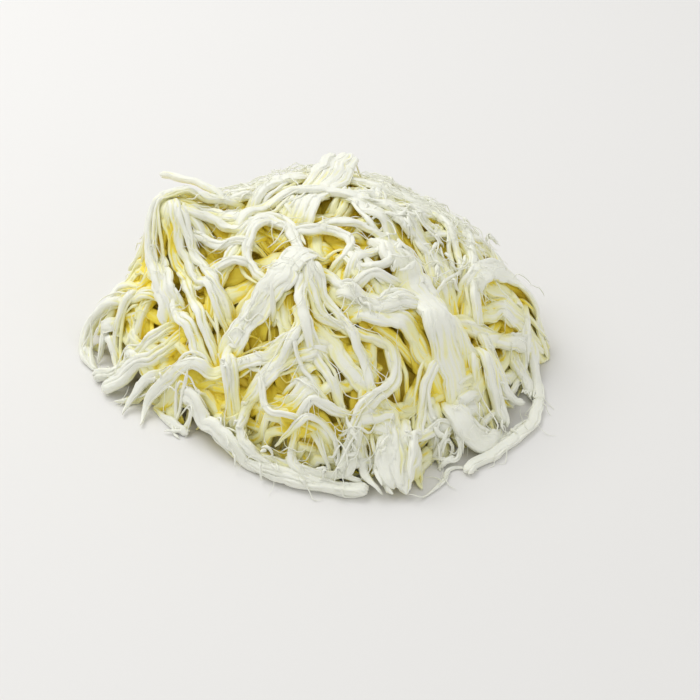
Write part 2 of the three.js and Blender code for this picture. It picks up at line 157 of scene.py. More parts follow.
# The strands that show, in the order they lie: name, kind, both ends (h hidden under others,
# t torn, p torn to a point, c cut), width, thickness, how far over the mound the middle may
# lie, and the points passed, seen from above, as x, y and raised by.
STRANDS = [
    # left lobe: cords folded back on themselves
    ("left fold a", "cord", "hh", 4, 3, 1, [(-57, -3), (-69, 14), (-80, 17), (-86, 14)]),
    ("left fold yellow", "rope", "hh", 8, 6, 0.5, [(-60, -8), (-66, -15), (-71, -23)]),
    ("left fold outer", "rope", "hh", 6.5, 5, 3,
     [(-54, -16), (-66, -8), (-78, -1), (-88, 0), (-89, -9), (-84, -19)]),
    # left front: logs, sheet and rim
    ("left log upper", "log", "hc", 6, 5, 3, [(-50, -26), (-63, -27), (-74, -25), (-84, -25)]),
    ("left log lower", "log", "hc", 6, 5, 2.5, [(-45, -31), (-57, -32), (-68, -31), (-80, -33)]),
    ("lower sheet", "sheet", "hh", 10, 4, 1,
     [(-62, -36), (-49, -43), (-38, -51), (-31, -61), (-20, -72)]),
    ("flat finger", "strap", "hc", 4.2, 2.6, 1, [(-60, -42), (-54, -50), (-46, -58)]),
    ("rim bundle", "rope", "hh", 8.5, 4.5, 1.5,
     [(-46, -50), (-39, -60), (-30, -69), (-20, -77), (-8, -83)]),
    ("front log", "log", "hc", 6.5, 5, 1.5, [(-24, -75), (-13, -82), (0, -87), (20, -91)]),
    ("middle sheet", "sheet", "hh", 10, 4, 0.5, [(-18, -58), (-14, -66), (-4, -69), (4, -64)]),
    # front tip
    ("tip left", "strap", "hp", 5.5, 4, 2, [(13, -69), (17, -78), (20, -87), (25, -94)]),
    ("tip lump", "sheet", "ht", 14, 8, 2.5, [(28, -70), (30, -80), (31, -88), (32, -95)]),
    ("tip fold", "sheet", "hh", 11, 3.6, 4, [(20, -68), (27, -72), (34, -78)]),
    ("front curls", "rope", "hh", 9, 6, 1, [(43, -60), (47, -69), (48, -76)]),
    # right side
    ("outer strand", "strap", "hc", 4.4, 3.8, 0.5,
     [(80, -10), (84, -20), (85, -32), (84, -44), (79, -56), (71, -65), (62, -73), (55, -80)]),
    ("right leaf a", "sheet", "ht", 7, 4, 1, [(70, -18), (77, -24), (82, -31), (82, -38)]),
    ("right leaf c", "rope", "ht", 6.5, 5, 1.5, [(63, -38), (67, -47), (71, -52), (71, -58)]),
    ("right fold inside", "sheet", "hh", 10, 5, 1, [(58, -20), (72, -14), (86, -10)]),
    ("right fold upper", "rope", "hh", 6, 4, 3, [(58, -18), (66, -6), (77, 3), (88, 0), (91, -7)]),
    ("right fold lower", "strap", "hh", 7, 4.5, 3, [(54, -29), (65, -27), (76, -22), (88, -13)]),
    ("rear leaf", "sheet", "hh", 8, 4, 2, [(55, 15), (66, 26), (75, 26), (82, 22)]),
    # long strap with drooping fingers
    ("strap upper", "strap", "hp", 5, 3.2, 4.5,
     [(-2, -52), (-24, -50), (-42, -43), (-58, -37), (-68, -40), (-71, -47)]),
    ("strap lower", "strap", "hp", 5, 3.2, 4,
     [(-4, -54), (-26, -52), (-43, -46), (-57, -42), (-63, -46), (-64, -53)]),
    # ropes down the left shoulder
    ("left rope a", "rope", "hh", 6.5, 5, 3.5,
     [(-62, 10), (-58, -2), (-54, -12), (-50, -26), (-40, -43)]),
    ("left rope b", "rope", "hh", 5.5, 4.5, 4,
     [(-55, 6), (-51, -4), (-45, -20), (-41, -32), (-35, -44)]),
    ("left rope c", "rope", "hh", 6, 4.5, 4, [(-54, 12), (-50, -2), (-44, -14), (-33, -31)]),
    # shoulder and back edge
    ("shoulder rope a", "rope", "hh", 6, 4.5, 3, [(-62, 16), (-48, 15), (-34, 20), (-20, 21)]),
    ("shoulder rope b", "cord", "hh", 5, 4, 3, [(-50, 8), (-36, 5), (-22, -4)]),
    ("back arc a", "strap", "hh", 6, 4, 3.5,
     [(-24, 14), (-17, 28), (-2, 35), (14, 33), (30, 28), (46, 24)]),
    ("back tuft", "fan", "ht", 15, 4, 4, [(-6, 8), (0, 20), (7, 32, 2), (11, 41, 6), (13, 46, 10)]),
    ("right shoulder", "rope", "hh", 6, 4.5, 3.5,
     [(33, 26), (46, 27), (56, 21), (60, 6), (60, -8), (61, -22)]),
    ("right rope", "rope", "hh", 5, 4, 4.5, [(46, 23), (53, 8), (56, -9), (57, -25)]),
    # top
    ("top arc a", "cord", "hh", 5, 3.6, 5, [(2, 0), (14, -1), (25, -3), (31, -10), (36, -20)]),
    ("web band a", "sheet", "hh", 10, 4, 3.5, [(24, 14), (36, 5), (44, -3), (48, -14), (50, -26)]),
    ("cross strand a", "cord", "hh", 5, 3.6, 4, [(12, -35), (24, -29), (37, -25)]),
    ("web cord a", "cord", "hh", 5.5, 3.6, 5, [(-2, -22), (7, -30), (19, -42), (31, -47)]),
    ("ridge band", "strap", "hh", 7.5, 4, 5, [(15, -42), (26, -44), (34, -43), (45, -52)]),
    ("flat ribbon", "strap", "hh", 6.5, 3, 4.5, [(-1, -43), (7, -52), (13, -58), (22, -66)]),
    ("tip column", "rope", "ht", 5, 4, 4.5,
     [(46, -49), (42, -57), (39, -68), (36, -80), (35, -91)]),
    ("broad strap", "strap", "hh", 14, 5.5, 5.5,
     [(28, -8), (37, -25), (48, -43), (56, -58), (63, -65)]),
    ("strap curl", "strap", "hh", 9, 4.5, 2.5, [(51, -60), (58, -67), (66, -64), (69, -56)]),
    ("loop outer", "rope", "hh", 6, 4.2, 6.5,
     [(-25, -2), (-17, 2), (-10, -4), (-6, -12), (-3, -22)]),
    ("loop inner", "cord", "hh", 5, 4, 5.5, [(-17, 0), (-23, -7), (-24, -15), (-15, -31)]),
    ("knot left", "rope", "hh", 8, 3.8, 7,
     [(-1, -19), (-13, -29), (-24, -38), (-31, -48), (-28, -61)]),
    ("knot column", "cord", "hh", 5, 4, 6,
     [(-4, -20), (-3, -45), (-10, -56), (-26, -63), (-24, -72), (-14, -80)]),
    ("knot branch", "cord", "hh", 5, 3.8, 6, [(-4, -28), (-3, -46), (2, -57), (14, -73)]),
    ("knot sweep", "rope", "hc", 6, 3.8, 6,
     [(-3, -23), (2, -42), (14, -48), (28, -50), (30, -59), (17, -72), (11, -87)]),
]

# Finer strands between them, which the solid leaves out.
FINE_STRANDS = [
    ("left fold b", "cord", "hh", 4.5, 3.2, 2, [(-54, -6), (-67, 0), (-78, 8), (-88, 7)]),
    ("left fold inner", "cord", "hh", 4.5, 4, 1, [(-68, -6), (-75, -9), (-76, -17), (-74, -25)]),
    ("front strip", "strap", "hh", 4, 2.6, 2, [(-19, -74), (-7, -81), (4, -85), (18, -87)]),
    ("right leaf b", "sheet", "hh", 5.5, 4, 2, [(64, -30), (68, -39), (73, -45), (79, -43)]),
    ("right leaf d", "cord", "hh", 5, 4, 2, [(59, -42), (63, -51), (68, -59)]),
    ("left rope d", "rope", "hh", 4.5, 3.6, 5, [(-51, 8), (-47, -1), (-41, -13), (-31, -30)]),
    ("shoulder rope c", "cord", "hh", 4.5, 3.4, 3.5, [(-47, 1), (-36, -5), (-24, -9)]),
    ("back arc b", "strap", "hh", 5, 3.6, 4.5, [(-27, 4), (-19, 13), (-5, 19), (12, 16), (33, 9)]),
    ("top arc b", "cord", "hh", 5, 3.6, 4, [(-7, -6), (3, -5), (12, -7), (15, -13), (9, -21)]),
    ("web band b", "sheet", "hh", 9, 3.6, 3, [(13, 20), (22, 9), (32, -2)]),
    ("cross strand b", "sheet", "hh", 6.5, 3.6, 3, [(11, -35), (24, -40), (38, -34)]),
    ("web cord b", "cord", "hh", 4.5, 3.6, 4, [(-1, -25), (5, -37), (16, -51)]),
    ("knot sheet", "sheet", "hh", 10, 3, 5, [(-2, -21), (-10, -31), (-18, -38), (-27, -43)]),
    ("front ring", "cord", "hh", 3.8, 3, 4.5,
     [(11, -71), (-3, -73), (-8, -78), (-3, -84), (6, -86)]),
    ("right lobe", "strap", "hh", 9.5, 2.8, 5, [(60, -14), (68, -3), (78, 3), (86, -1), (89, -9)]),
    ("middle lining", "sheet", "hh", 9, 3, -10, [(6, -58), (1, -66), (-1, -74), (2, -82)]),
    ("front lining", "sheet", "hh", 9, 3, -11, [(18, -56), (19, -66), (20, -76), (19, -84)]),
    ("wisp", "cord", "hp", 2.0, 1.6, 0.6,
     [(60, -78), (54, -76), (49, -78), (48, -83), (43, -89), (39, -93), (34, -95)]),
    ("shoulder lining", "sheet", "hh", 9, 3.6, 3,
     [(-50, 15), (-56, 10, 1), (-59, 1), (-58, -9), (-54, -20)]),
    ("shoulder arch", "rope", "hh", 7, 4.5, 3,
     [(-30, 20), (-38, 20, 3), (-46, 19, 7), (-53, 17, 8), (-59, 12, 5), (-62, 5, 2), (-61, -4),
      (-57, -14)]),
    ("tube end", "stick", "hc", 3.2, 3, 3,
     [(-33, 20, 2), (-42, 26, 9), (-45, 28, 12), (-50, 31, 16), (-55, 33, 20), (-60, 35, 25)]),
    ("right lobe lining", "sheet", "hh", 11, 3, 1, [(58, -10), (68, -6), (78, -3), (87, -5)]),
    ("hook", "cord", "hp", 2.0, 1.6, 1, [(72, -56), (68, -61), (64, -65)]),
    ("curl a", "cord", "hh", 2.0, 1.6, 3,
     [(43, -68), (48, -65), (53, -67), (54, -73), (49, -76), (44, -73)]),
    ("curl b", "cord", "hh", 1.7, 1.4, 3.5,
     [(46, -70), (49, -68), (52, -71), (49, -74), (47, -72)]),
    ("high strand", "cord", "hh", 1.8, 1.5, 5.5,
     [(58, 0), (57, -6), (53, -14), (49, -20), (45, -27)]),
    ("low strand", "cord", "hh", 1.8, 1.5, 4, [(-6, -52), (-6, -57), (-3, -62), (4, -68)]),
    ("small ring", "cord", "hh", 4.2, 3.2, 6,
     [(15, -24), (19, -18), (26, -14), (29, -20), (24, -26), (17, -25)]),
    ("ring stripe", "cord", "hh", 3.6, 2.5, 2, [(1, -75), (4, -80), (7, -84)]),
    ("middle strip", "sheet", "hh", 7, 3, -1, [(-18, -59), (-5, -56), (5, -54)]),
    ("hook left", "cord", "hh", 4, 3, 2, [(-37, -16), (-28, -17), (-22, -17)]),
    ("rear leaf b", "sheet", "hh", 5, 3.5, 1, [(60, 9), (69, 26), (77, 25)]),
    ("thin ribbon", "strap", "hh", 3.5, 2.6, 4.5, [(14, -48), (17, -54), (20, -59), (21, -64)]),
    ("ring inner", "cord", "hh", 2.8, 2.4, 4, [(-2, -75), (4, -75), (8, -77), (10, -81), (9, -84)]),
    ("curved rib", "cord", "hh", 2.8, 2.4, 3.5,
     [(-18, -59), (-18, -65), (-15, -70), (-10, -73), (-7, -73)]),
]

# Fine threads, given one by one: thickness and the points passed, as for the strands.
THREADS = [
    (0.7, [(-30, -42), (-25, -45), (-21, -44), (-18, -47), (-20, -51)]),
    (0.6, [(-27, -38), (-23, -43), (-19, -42), (-15, -45), (-16, -50)]),
    (0.5, [(-24, -49), (-20, -47), (-17, -51), (-12, -50)]),
    (0.6, [(-33, -35), (-30, -44), (-25, -48), (-19, -45)]),
    (0.8, [(-12, -60), (-6, -63), (-1, -68), (5, -69)]),
    (0.6, [(-17, -12), (-13, -10), (-10, -6), (-13, -3), (-17, -5)]),
    (0.5, [(-15, -15), (-11, -12), (-7, -14), (-5, -10)]),
    (0.6, [(-38, 3), (-33, 1), (-28, -2), (-22, -1)]),
    (0.7, [(-40, -6), (-35, -8), (-31, -6), (-32, -2), (-36, -3)]),
    (0.6, [(22, -6), (27, -9), (31, -5), (29, 0), (24, 0)]),
    (0.6, [(34, -12), (40, -15), (44, -11), (50, -12)]),
    (0.7, [(38, 8), (41, 2), (47, -2), (46, -8)]),
    (0.6, [(26, -18), (32, -21), (38, -19), (43, -23)]),
    (0.8, [(18, -76), (14, -80), (10, -85), (6, -88)]),
    (0.7, [(8, -78), (12, -82), (13, -87)]),
    (0.6, [(60, -52), (65, -55), (68, -60), (66, -64)]),
    (0.6, [(64, -30), (70, -33), (74, -38), (72, -43)]),
    (0.7, [(-70, -6), (-74, 0), (-80, 3), (-84, -1)]),
    (0.6, [(-64, -28), (-70, -24), (-76, -28), (-80, -26)]),
    (0.7, [(-52, -50), (-47, -52), (-44, -57), (-47, -60)]),
    (0.7, [(-50, -47), (-45, -49), (-42, -53), (-38, -53)]),
    (0.6, [(-40, 30), (-34, 38), (-26, 42), (-20, 50)]),
    (0.6, [(20, 52), (28, 58), (30, 66), (24, 70)]),
    (0.6, [(-10, 58), (-4, 66), (-6, 74), (0, 80)]),
    (0.6, [(52, 40), (58, 46), (56, 54), (62, 58)]),
]

# Where the curd is pulled to shreds: x, y, reach and how many shreds.
SHREDDED = [(36, -10, 20, 26), (32, 8, 13, 12), (-20, -46, 8, 10), (48, -70, 8, 12),
            (-50, -52, 7, 10), (16, -82, 8, 8), (-30, 30, 16, 10), (30, 50, 18, 10)]

# Strands with tattered edges.
TATTERED = ("rim bundle", "front log", "lower sheet", "tip lump", "right leaf a", "right leaf c",
            "web band a", "web band b", "cross strand b")

# The pieces made of bent bars: random seed and finish.
PIECES = {
    "following_strands": (11, "curd"), "under_strands": (12, "curd"),
    "loose_strands": (21, "curd"), "back_strands": (22, "curd"),
    "left_strands": (31, "curd"), "front_strands": (32, "curd"),
    "right_strands": (33, "curd"), "top_strands": (34, "curd"),
    "threads": (41, "thread"), "shreds": (51, "shred"),
}

# Finishes of the curd: depth of the fibres, how much painted crease shade darkens creases, and
# glow.
FINISHES = {
    "curd": (0.5, 0.42, 0.2), "deep_curd": (0.5, 0.3, 0.0),
    "thread": (0.0, 0.0, 0.0), "shred": (0.25, 0.0, 0.0),
}

# ---- the mound and the pile ----------------------------------------------------------


def mound_reach(angle):
    """Reach of the mound in one direction, in degrees, with its bays."""
    reach = np.full(np.shape(angle), float(HEAP_RADIUS))
    for middle, half_width, depth in BAYS:
        off = (angle - middle + 540) % 360 - 180
        reach = reach - depth * np.exp(-((off / half_width) ** 2))
    return reach


def mound_height(x, y):
    """Height of the mound that the strands lie on."""
    angle = (np.degrees(np.arctan2(y, x)) + 360) % 360
    out = (x * x + y * y) / mound_reach(angle) ** 2
    height = HEAP_HEIGHT * np.maximum(0, 1 - out) ** MOUND_ROUNDNESS
    for middle_x, middle_y, half_x, half_y, top in LOBES:
        inside = 1 - ((x - middle_x) / half_x) ** 2 - ((y - middle_y) / half_y) ** 2
        height = np.maximum(height, top * np.sqrt(np.maximum(0, inside)))
    return height


def mound_normal(x, y):
    """The upward direction of the mound's skin, leaning no more than STEEPEST allows."""
    step = NORMAL_STEP
    slope_x = (mound_height(x + step, y) - mound_height(x - step, y)) / (2 * step)
    slope_y = (mound_height(x, y + step) - mound_height(x, y - step)) / (2 * step)
    steep = np.maximum(1, np.hypot(slope_x, slope_y) / STEEPEST)
    return unit(np.stack([-slope_x / steep, -slope_y / steep, np.ones_like(steep)], axis=-1))


def unit(vectors):
    """The same directions, one long."""
    return vectors / np.linalg.norm(vectors, axis=-1, keepdims=True)


def smooth_step(at, start, end):
    """0 before start, 1 after end, and smooth between."""
    share = np.clip((at - start) / (end - start), 0, 1)
    return share * share * (3 - 2 * share)


def blurred(values):
    """Values along a line, each drawn towards its neighbours."""
    padded = np.concatenate([values[:1], values, values[-1:]])
    return (padded[:-2] + 2 * padded[1:-1] + padded[2:]) / 4


def evened(values, rounds):
    """Values along a line, blurred but for the two ends."""
    for _ in range(rounds):
        values = np.concatenate([values[:1], blurred(values)[1:-1], values[-1:]])
    return values


def travel(line):
    """Distance along a line to each of its places."""
    steps = np.linalg.norm(np.diff(line, axis=0), axis=1)
    return np.concatenate([[0], np.cumsum(steps)])


def polar(far, turns):
    """Places seen from above, by distance and by direction in degrees."""
    turns = np.radians(turns)
    return np.stack([far * np.cos(turns), far * np.sin(turns)], axis=1)


def unbroken(chosen):
    """Whether the chosen stations are one stretch, long enough for a strand."""
    count = chosen.sum()
    return count >= SHORTEST and chosen[np.argmax(chosen):][:count].all()


class Pile:
    """Height map of what already lies there."""

    cells = round(2 * PILE_REACH / PILE_CELL) + 1

    def __init__(self):
        line = np.arange(self.cells) * PILE_CELL - PILE_REACH
        x, y = np.meshgrid(line, line)
        core = mound_height(x * CORE_INSET, y * CORE_INSET) - CORE_DEPTH
        self.top = np.maximum(0, core)

    def index(self, x, y):
        """Row and column of a place."""
        column = np.floor((x + PILE_REACH) / PILE_CELL + 0.5).astype(int)
        row = np.floor((y + PILE_REACH) / PILE_CELL + 0.5).astype(int)
        return row, column

    def height(self, x, y):
        """Height of the pile at a place."""
        return self.top[self.index(x, y)]

    def stamp(self, strand):
        """Adds a laid strand."""
        for (x, y, z), width, thick in zip(strand.places, strand.widths, strand.thicks):
            line = np.arange(-width / 2, width / 2 + 1e-9, 1)
            off_x, off_y = np.meshgrid(line, line)
            out = 2 * np.hypot(off_x, off_y) / width
            inside = out <= 1
            top = z + thick / 2 * np.sqrt(1 - out[inside] ** 2)
            np.maximum.at(self.top, self.index(x + off_x[inside], y + off_y[inside]), top)


def spaced_curve(points, spacing):
    """Points along a Catmull-Rom curve through the given ones, and its length."""
    points = np.array([(*point, 0.0)[:3] for point in points], dtype=float)
    first, last = 2 * points[0] - points[1], 2 * points[-1] - points[-2]
    guide = np.vstack([first, points, last])

    def at(share):
        place = share * (len(points) - 1)
        piece = np.minimum(place.astype(int), len(points) - 2)
        t = (place - piece)[:, None]
        p0, p1, p2, p3 = (guide[piece + k] for k in range(4))
        leave, arrive = (p2 - p0) / 2, (p3 - p1) / 2
        cubic = 2 * p1 - 2 * p2 + leave + arrive
        square = -3 * p1 + 3 * p2 - 2 * leave - arrive
        return cubic * t ** 3 + square * t ** 2 + leave * t + p1

    shares = np.linspace(0, 1, 201)
    travelled = travel(at(shares))
    length = travelled[-1]
    count = max(6, int(length / spacing + 0.5))
    return at(np.interp(np.linspace(0, length, count + 1), travelled, shares)), length


class Strand:
    """A strand laid on the pile: at each station a place, a width and a thickness."""

    def __init__(self, name, kind, ends, width, thick, lift, route, pile):
        self.name, self.kind, self.ends = name, kind, ends
        self.width, self.thick = width, thick
        points, self.length = spaced_curve(route, STATION)
        x, y, raised = points.T
        on_pile = pile.height(x, y) + thick / 2 - PRESS
        support = np.minimum(on_pile, mound_height(x, y) + lift) + raised
        heights = support.copy()
        for _ in range(SAG_ROUNDS):
            heights = np.maximum(support, blurred(heights))
        from_start = np.linspace(0, self.length, len(x))
        from_end = self.length - from_start
        slim = TORN + (1 - TORN) * smooth_step(from_start, 0, TAPER_LENGTH)
        if ends[1] == "c":
            end = BLUNT + (1 - BLUNT) * smooth_step(from_end, 0, width / 2)
        else:
            end = TORN + (1 - TORN) * smooth_step(from_end, 0, TAPER_LENGTH)
        slim = np.minimum(slim, end)
        self.places = np.stack([x, y, np.maximum(heights, 0.4 * thick)], axis=1)
        self.middle = self.places[len(x) // 2, :2]
        self.widths = width * slim
        self.thicks = thick * np.sqrt(slim)


class Draw:
    """The even random draw that the solid uses, so that the loose strands fall alike."""

    def __init__(self, seed):
        self.state = seed

    def between(self, low, high):
        """The next number, between the two."""
        self.state = (self.state * 1664525 + 1013904223) % 4294967296
        return low + (high - low) * self.state / 4294967296


def outward_route(between, middle, sweep, stray, inner, outer, inset):
    """Points of a strand that sweeps outwards past a middle direction, in degrees, from an
    inner share of the mound's reach to an outer one."""
    route = []
    for along in (0, 0.35, 0.7, 1):
        angle = middle + sweep * (along - 0.5) * 2 + between(-stray, stray)
        radius = (inner + (outer - inner) * along) * (mound_reach(angle) - inset)
        route.append((radius * math.cos(math.radians(angle)),
                      radius * math.sin(math.radians(angle))))
    return route


def loose_routes():
    """Strands laid first, by a rule: from near the top they swirl outwards to the table."""
    between = Draw(RANDOM_SEED).between
    for i in range(LOOSE_STRANDS):
        turn = (i * GOLDEN_ANGLE) % 360
        middle = turn if i % 3 == 0 else 5 + 170 * turn / 360
        sweep = between(-30, 30)
        inner, outer = between(0.1, 0.6), between(0.9, 1.03)
        width = between(5.5, 11)
        route = outward_route(between, middle, sweep, 7, inner, outer, width / 2)
        thick = width * between(0.5, 0.7)
        yield f"loose {i}", "swirl", "ht", width, thick, between(1, 3.5), route


def back_routes():
    """Strands that lie across the loose ones at the back, by a rule."""
    between = Draw(RANDOM_SEED + 1).between
    for i in range(BACK_STRANDS):
        middle = 6 + 168 * (i * 0.618 % 1)
        sweep = between(-34, 34)
        inner, outer = between(0.25, 0.6), between(0.7, 0.97)
        if i % 4 == 3:
            inner = outer - between(0, 0.12)
            sweep = between(26, 40)
        width = between(3, 7)
        route = outward_route(between, middle, sweep, 5, inner, outer, width)
        kind = ("rope", "cord", "strap", "rope", "sheet")[i % 5]
        thick = width * (0.5 if kind in ("strap", "sheet") else 0.7)
        ends = "ht" if i % 3 == 1 and outer < 0.95 else "hh"
        yield f"back {i}", kind, ends, width, thick, between(0.5, 3.5), route


@functools.cache
def laid():
    """Every strand of the heap, laid once: loose, back, main and fine ones, and the pile."""
    pile = Pile()
    strands = {"pile": pile}
    for part, rows in (("loose", loose_routes()), ("back", back_routes()), ("main", STRANDS),
                       ("fine", FINE_STRANDS)):
        strands[part] = []
        for row in rows:
            strand = Strand(*row, pile)
            if strand.kind != "stick":
                pile.stamp(strand)
            strands[part].append(strand)
    return strands


# ---- shaping ---------------------------------------------------------------------------


def as_mesh(shape, name):
    """The mesh of a finished bmesh."""
    mesh = bpy.data.meshes.new(name)
    shape.to_mesh(mesh)
    shape.free()
    return mesh


@functools.cache
def bar(sides, rings):
    """A straight closed bar cut into rings: its mesh, and each point's angle, share of the
    length and share of the radius."""
    shape = bmesh.new()
    bmesh.ops.create_cone(shape, cap_ends=True, cap_tris=True, segments=sides,
                          radius1=1, radius2=1, depth=1)
    rails = [edge for edge in shape.edges
             if abs(edge.verts[0].co.z - edge.verts[1].co.z) > 0.5]
    bmesh.ops.subdivide_edges(shape, edges=rails, cuts=rings - 1)
    bmesh.ops.triangulate(shape, faces=shape.faces)
    mesh = as_mesh(shape, "bar")
    mesh.shade_smooth()
    x, y, z = np.array([vertex.co for vertex in mesh.vertices]).T
    return mesh, np.arctan2(y, x), z + 0.5, np.hypot(x, y)


def wander(at, wavelength, rng):
    """A smooth random line along a strand, between about -1 and 1: three waves, each with a
    phase of its own."""
    total = np.zeros(len(at))
    for share, height in ((1, 1), (0.57, 0.6), (0.31, 0.35)):
        total += height * np.sin(2 * math.pi * at / (share * wavelength) + rng.uniform(0, 6.283))
    return total / 1.6


def section_frame(places, roll=None):
    """Sideways and upward directions of a strand's section at each place, rolled about it."""
    forward = unit(np.gradient(places, axis=0))
    side = np.cross(mound_normal(places[:, 0], places[:, 1]), forward)
    for _ in range(3):
        side = blurred(side)
    side = unit(side - forward * np.sum(side * forward, axis=1, keepdims=True))
    up = np.cross(forward, side)
    if roll is None:
        return side, up
    cos, sin = np.cos(roll)[:, None], np.sin(roll)[:, None]
    return side * cos + up * sin, up * cos - side * sin


class Bundle:
    """Many bars bent along lines, which make one of the pieces."""

    def __init__(self, name):
        self.name = name
        seed, self.material = PIECES[name]
        self.rng = np.random.default_rng(seed)
        self.bars, self.places, self.grain, self.finish, self.frames = [], [], [], [], []
        self.low = np.array(CAD_LOW) / MM + BOX_MIDDLE + LOWEST
        self.high = np.array(CAD_HIGH) / MM + BOX_MIDDLE - LOWEST

    def bend(self, sides, line, widths, thicks, *, ribs=0, crease=0.0, twist=0.0,
             box=1.0, roll=None, round_end=None, tone=0.0):
        """Adds a bar bent along a line of places. Ribs run along it, with creases between
        them that are a share of the thickness deep."""
        rng = self.rng
        mesh, angle, share, radius = bar(sides, len(line) - 1)
        travelled = travel(line)
        length = travelled[-1]
        side, up = section_frame(line, roll)
        forward = unit(np.gradient(line, axis=0))
        # the whole section stays in the box
        room = np.hypot(side * widths[:, None] / 2, up * thicks[:, None] / 2)
        line = np.clip(line, self.low + room, self.high - room)
        ring = np.clip(np.round(share * (len(line) - 1)).astype(int), 0, len(line) - 1)
        along = travelled[ring]
        # the rim of each end is rounded over
        rounding = round_end if round_end else 0.5 * np.minimum(widths, thicks).mean()
        near_end = np.minimum(along, length - along)
        dome = 0.35 + 0.65 * np.sqrt(1 - np.clip(1 - near_end / rounding, 0, 1) ** 2)
        middle = radius < 0.5
        out = np.where(middle, (share - 0.5) * 2 * 0.3 * rounding, 0)
        scale = np.where(middle, 0, dome)
        cos, sin = np.cos(angle), np.sin(angle)
        across = np.sign(cos) * np.abs(cos) ** box * widths[ring] / 2
        high = np.sign(sin) * np.abs(sin) ** box * thicks[ring] / 2
        groove = np.zeros(len(angle))
        if ribs:
            # the ribs drift round the bar, bunch on one side and fade in and out
            drift = 0.9 * wander(travelled, 34, rng)[ring] + twist * 2 * math.pi * along
            bulge = rng.uniform(0, 6.3) + 0.8 * wander(travelled, 60, rng)[ring]
            phase = ribs / 2 * angle + drift + 0.8 * np.sin(angle + bulge)
            groove = (1 - np.abs(np.sin(phase))) ** 2.2
            groove *= 0.62 + 0.38 * np.sin(2 * angle + 2.5 * wander(travelled, 45, rng)[ring])
            fine = (1 - np.abs(np.sin(2.5 * phase + wander(travelled, 20, rng)[ring]))) ** 2
            normal = np.stack([across / widths[ring] ** 2, high / thicks[ring] ** 2])
            normal /= np.maximum(np.hypot(*normal), 1e-9)
            depth = crease * thicks[ring] * (groove + FINE_RIBS * fine)
            across = across - normal[0] * depth
            high = high - normal[1] * depth
        points = (line[ring] + side[ring] * (across * scale)[:, None]
                  + up[ring] * (high * scale)[:, None] + forward[ring] * out[:, None])
        points[:, 2] = np.maximum(points[:, 2], LOWEST)
        # each bar is cut from a stretch of fibres of its own
        start = rng.uniform(0, 400)
        tones = np.full(len(angle), tone)
        self.bars.append(mesh)
        self.places.append(points)
        self.grain.append(np.stack([across * scale, high * scale + start, along + start], axis=1))
        # openness starts at zero and is filled in later as painted shade; the groove also masks
        # painted crease shade; the tone is the curd's own
        self.finish.append(np.stack([np.zeros(len(angle)), groove, tones], axis=1))
        self.frames.append(np.stack([side[ring], up[ring], forward[ring]], axis=1))

    def piece(self, fuse=True):
        """Makes the finished piece: its bars fused into one skin, or left closed where they
        hardly touch. Each point gets its place in the fibres as grain, and its openness to
        the light, its crease and its tone: the openness and the crease become painted shade in
        its colour, and the tone is the curd's own."""
        bars = [mesh.copy() for mesh in self.bars]
        for mesh, places in zip(bars, self.places):
            set_places(mesh, places)
        mesh = fused(bars) if fuse else gathered(bars)
        places = np.concatenate(self.places)
        grain, finish = np.concatenate(self.grain), np.concatenate(self.finish)
        if fuse:
            skin = mesh_places(mesh) + BOX_MIDDLE
            nearest = nearest_points(places, skin)
            frames = np.concatenate(self.frames)[nearest]
            off = skin - places[nearest]
            grain = grain[nearest] + np.sum(frames * off[:, None, :], axis=2)
            finish = finish[nearest]
        add_piece(self.name, mesh, grain, finish, self.material)


def mesh_places(mesh):
    """A mesh's points in millimetres."""
    flat = np.empty(3 * len(mesh.vertices))
    mesh.vertices.foreach_get("co", flat)
    return flat.reshape(-1, 3) / MM


def set_places(mesh, places):
    """Moves a mesh's points to places given in the mound's millimetres."""
    mesh.vertices.foreach_set("co", ((places - BOX_MIDDLE) * MM).ravel())
    mesh.update()


def add_vectors(mesh, name, values):
    """Stores a vector for each point of a mesh."""
    attribute = mesh.attributes.new(name, "FLOAT_VECTOR", "POINT")
    attribute.data.foreach_set("vector", np.ascontiguousarray(values, dtype=float).ravel())


def fused(bars):
    """Overlapping closed bars as one skin."""
    first, *rest = [bpy.data.objects.new(f"bar_{i}", mesh) for i, mesh in enumerate(bars)]
    others = bpy.data.collections.new("others")
    bpy.context.scene.collection.children.link(others)
    bpy.context.scene.collection.objects.link(first)
    for other in rest:
        others.objects.link(other)
    union = first.modifiers.new("union", "BOOLEAN")
    union.operation, union.solver = "UNION", "MANIFOLD"
    union.operand_type, union.collection = "COLLECTION", others
    graph = bpy.context.evaluated_depsgraph_get()
    skin = bpy.data.meshes.new_from_object(first.evaluated_get(graph))
    for mesh in bars:
        bpy.data.meshes.remove(mesh)
    bpy.data.collections.remove(others)
    skin.set_sharp_from_angle(angle=math.radians(SHARP_EDGE))
    return skin


def gathered(bars):
    """Bars that hardly touch as one mesh."""
    shape = bmesh.new()
    for mesh in bars:
        shape.from_mesh(mesh)
        bpy.data.meshes.remove(mesh)
    return as_mesh(shape, "gathered")


def nearest_points(places, wanted):
    """Index of the place nearest to each wanted one."""
    tree = KDTree(len(places))
    for i, place in enumerate(places):
        tree.insert(place, i)
    tree.balance()
    return np.array([tree.find(place)[1] for place in wanted])


def add_piece(name, mesh, grain, finish, material):
    """Puts a mesh in the scene as a piece of the heap that rides on its body."""
    add_vectors(mesh, "grain", grain)
    add_vectors(mesh, "finish", finish)
    mesh.materials.clear()
    mesh.materials.append(curd_material(material))
    piece = bpy.data.objects.new(name, mesh)
    bpy.context.scene.collection.objects.link(piece)
    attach(piece, "root")
    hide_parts(NODE)


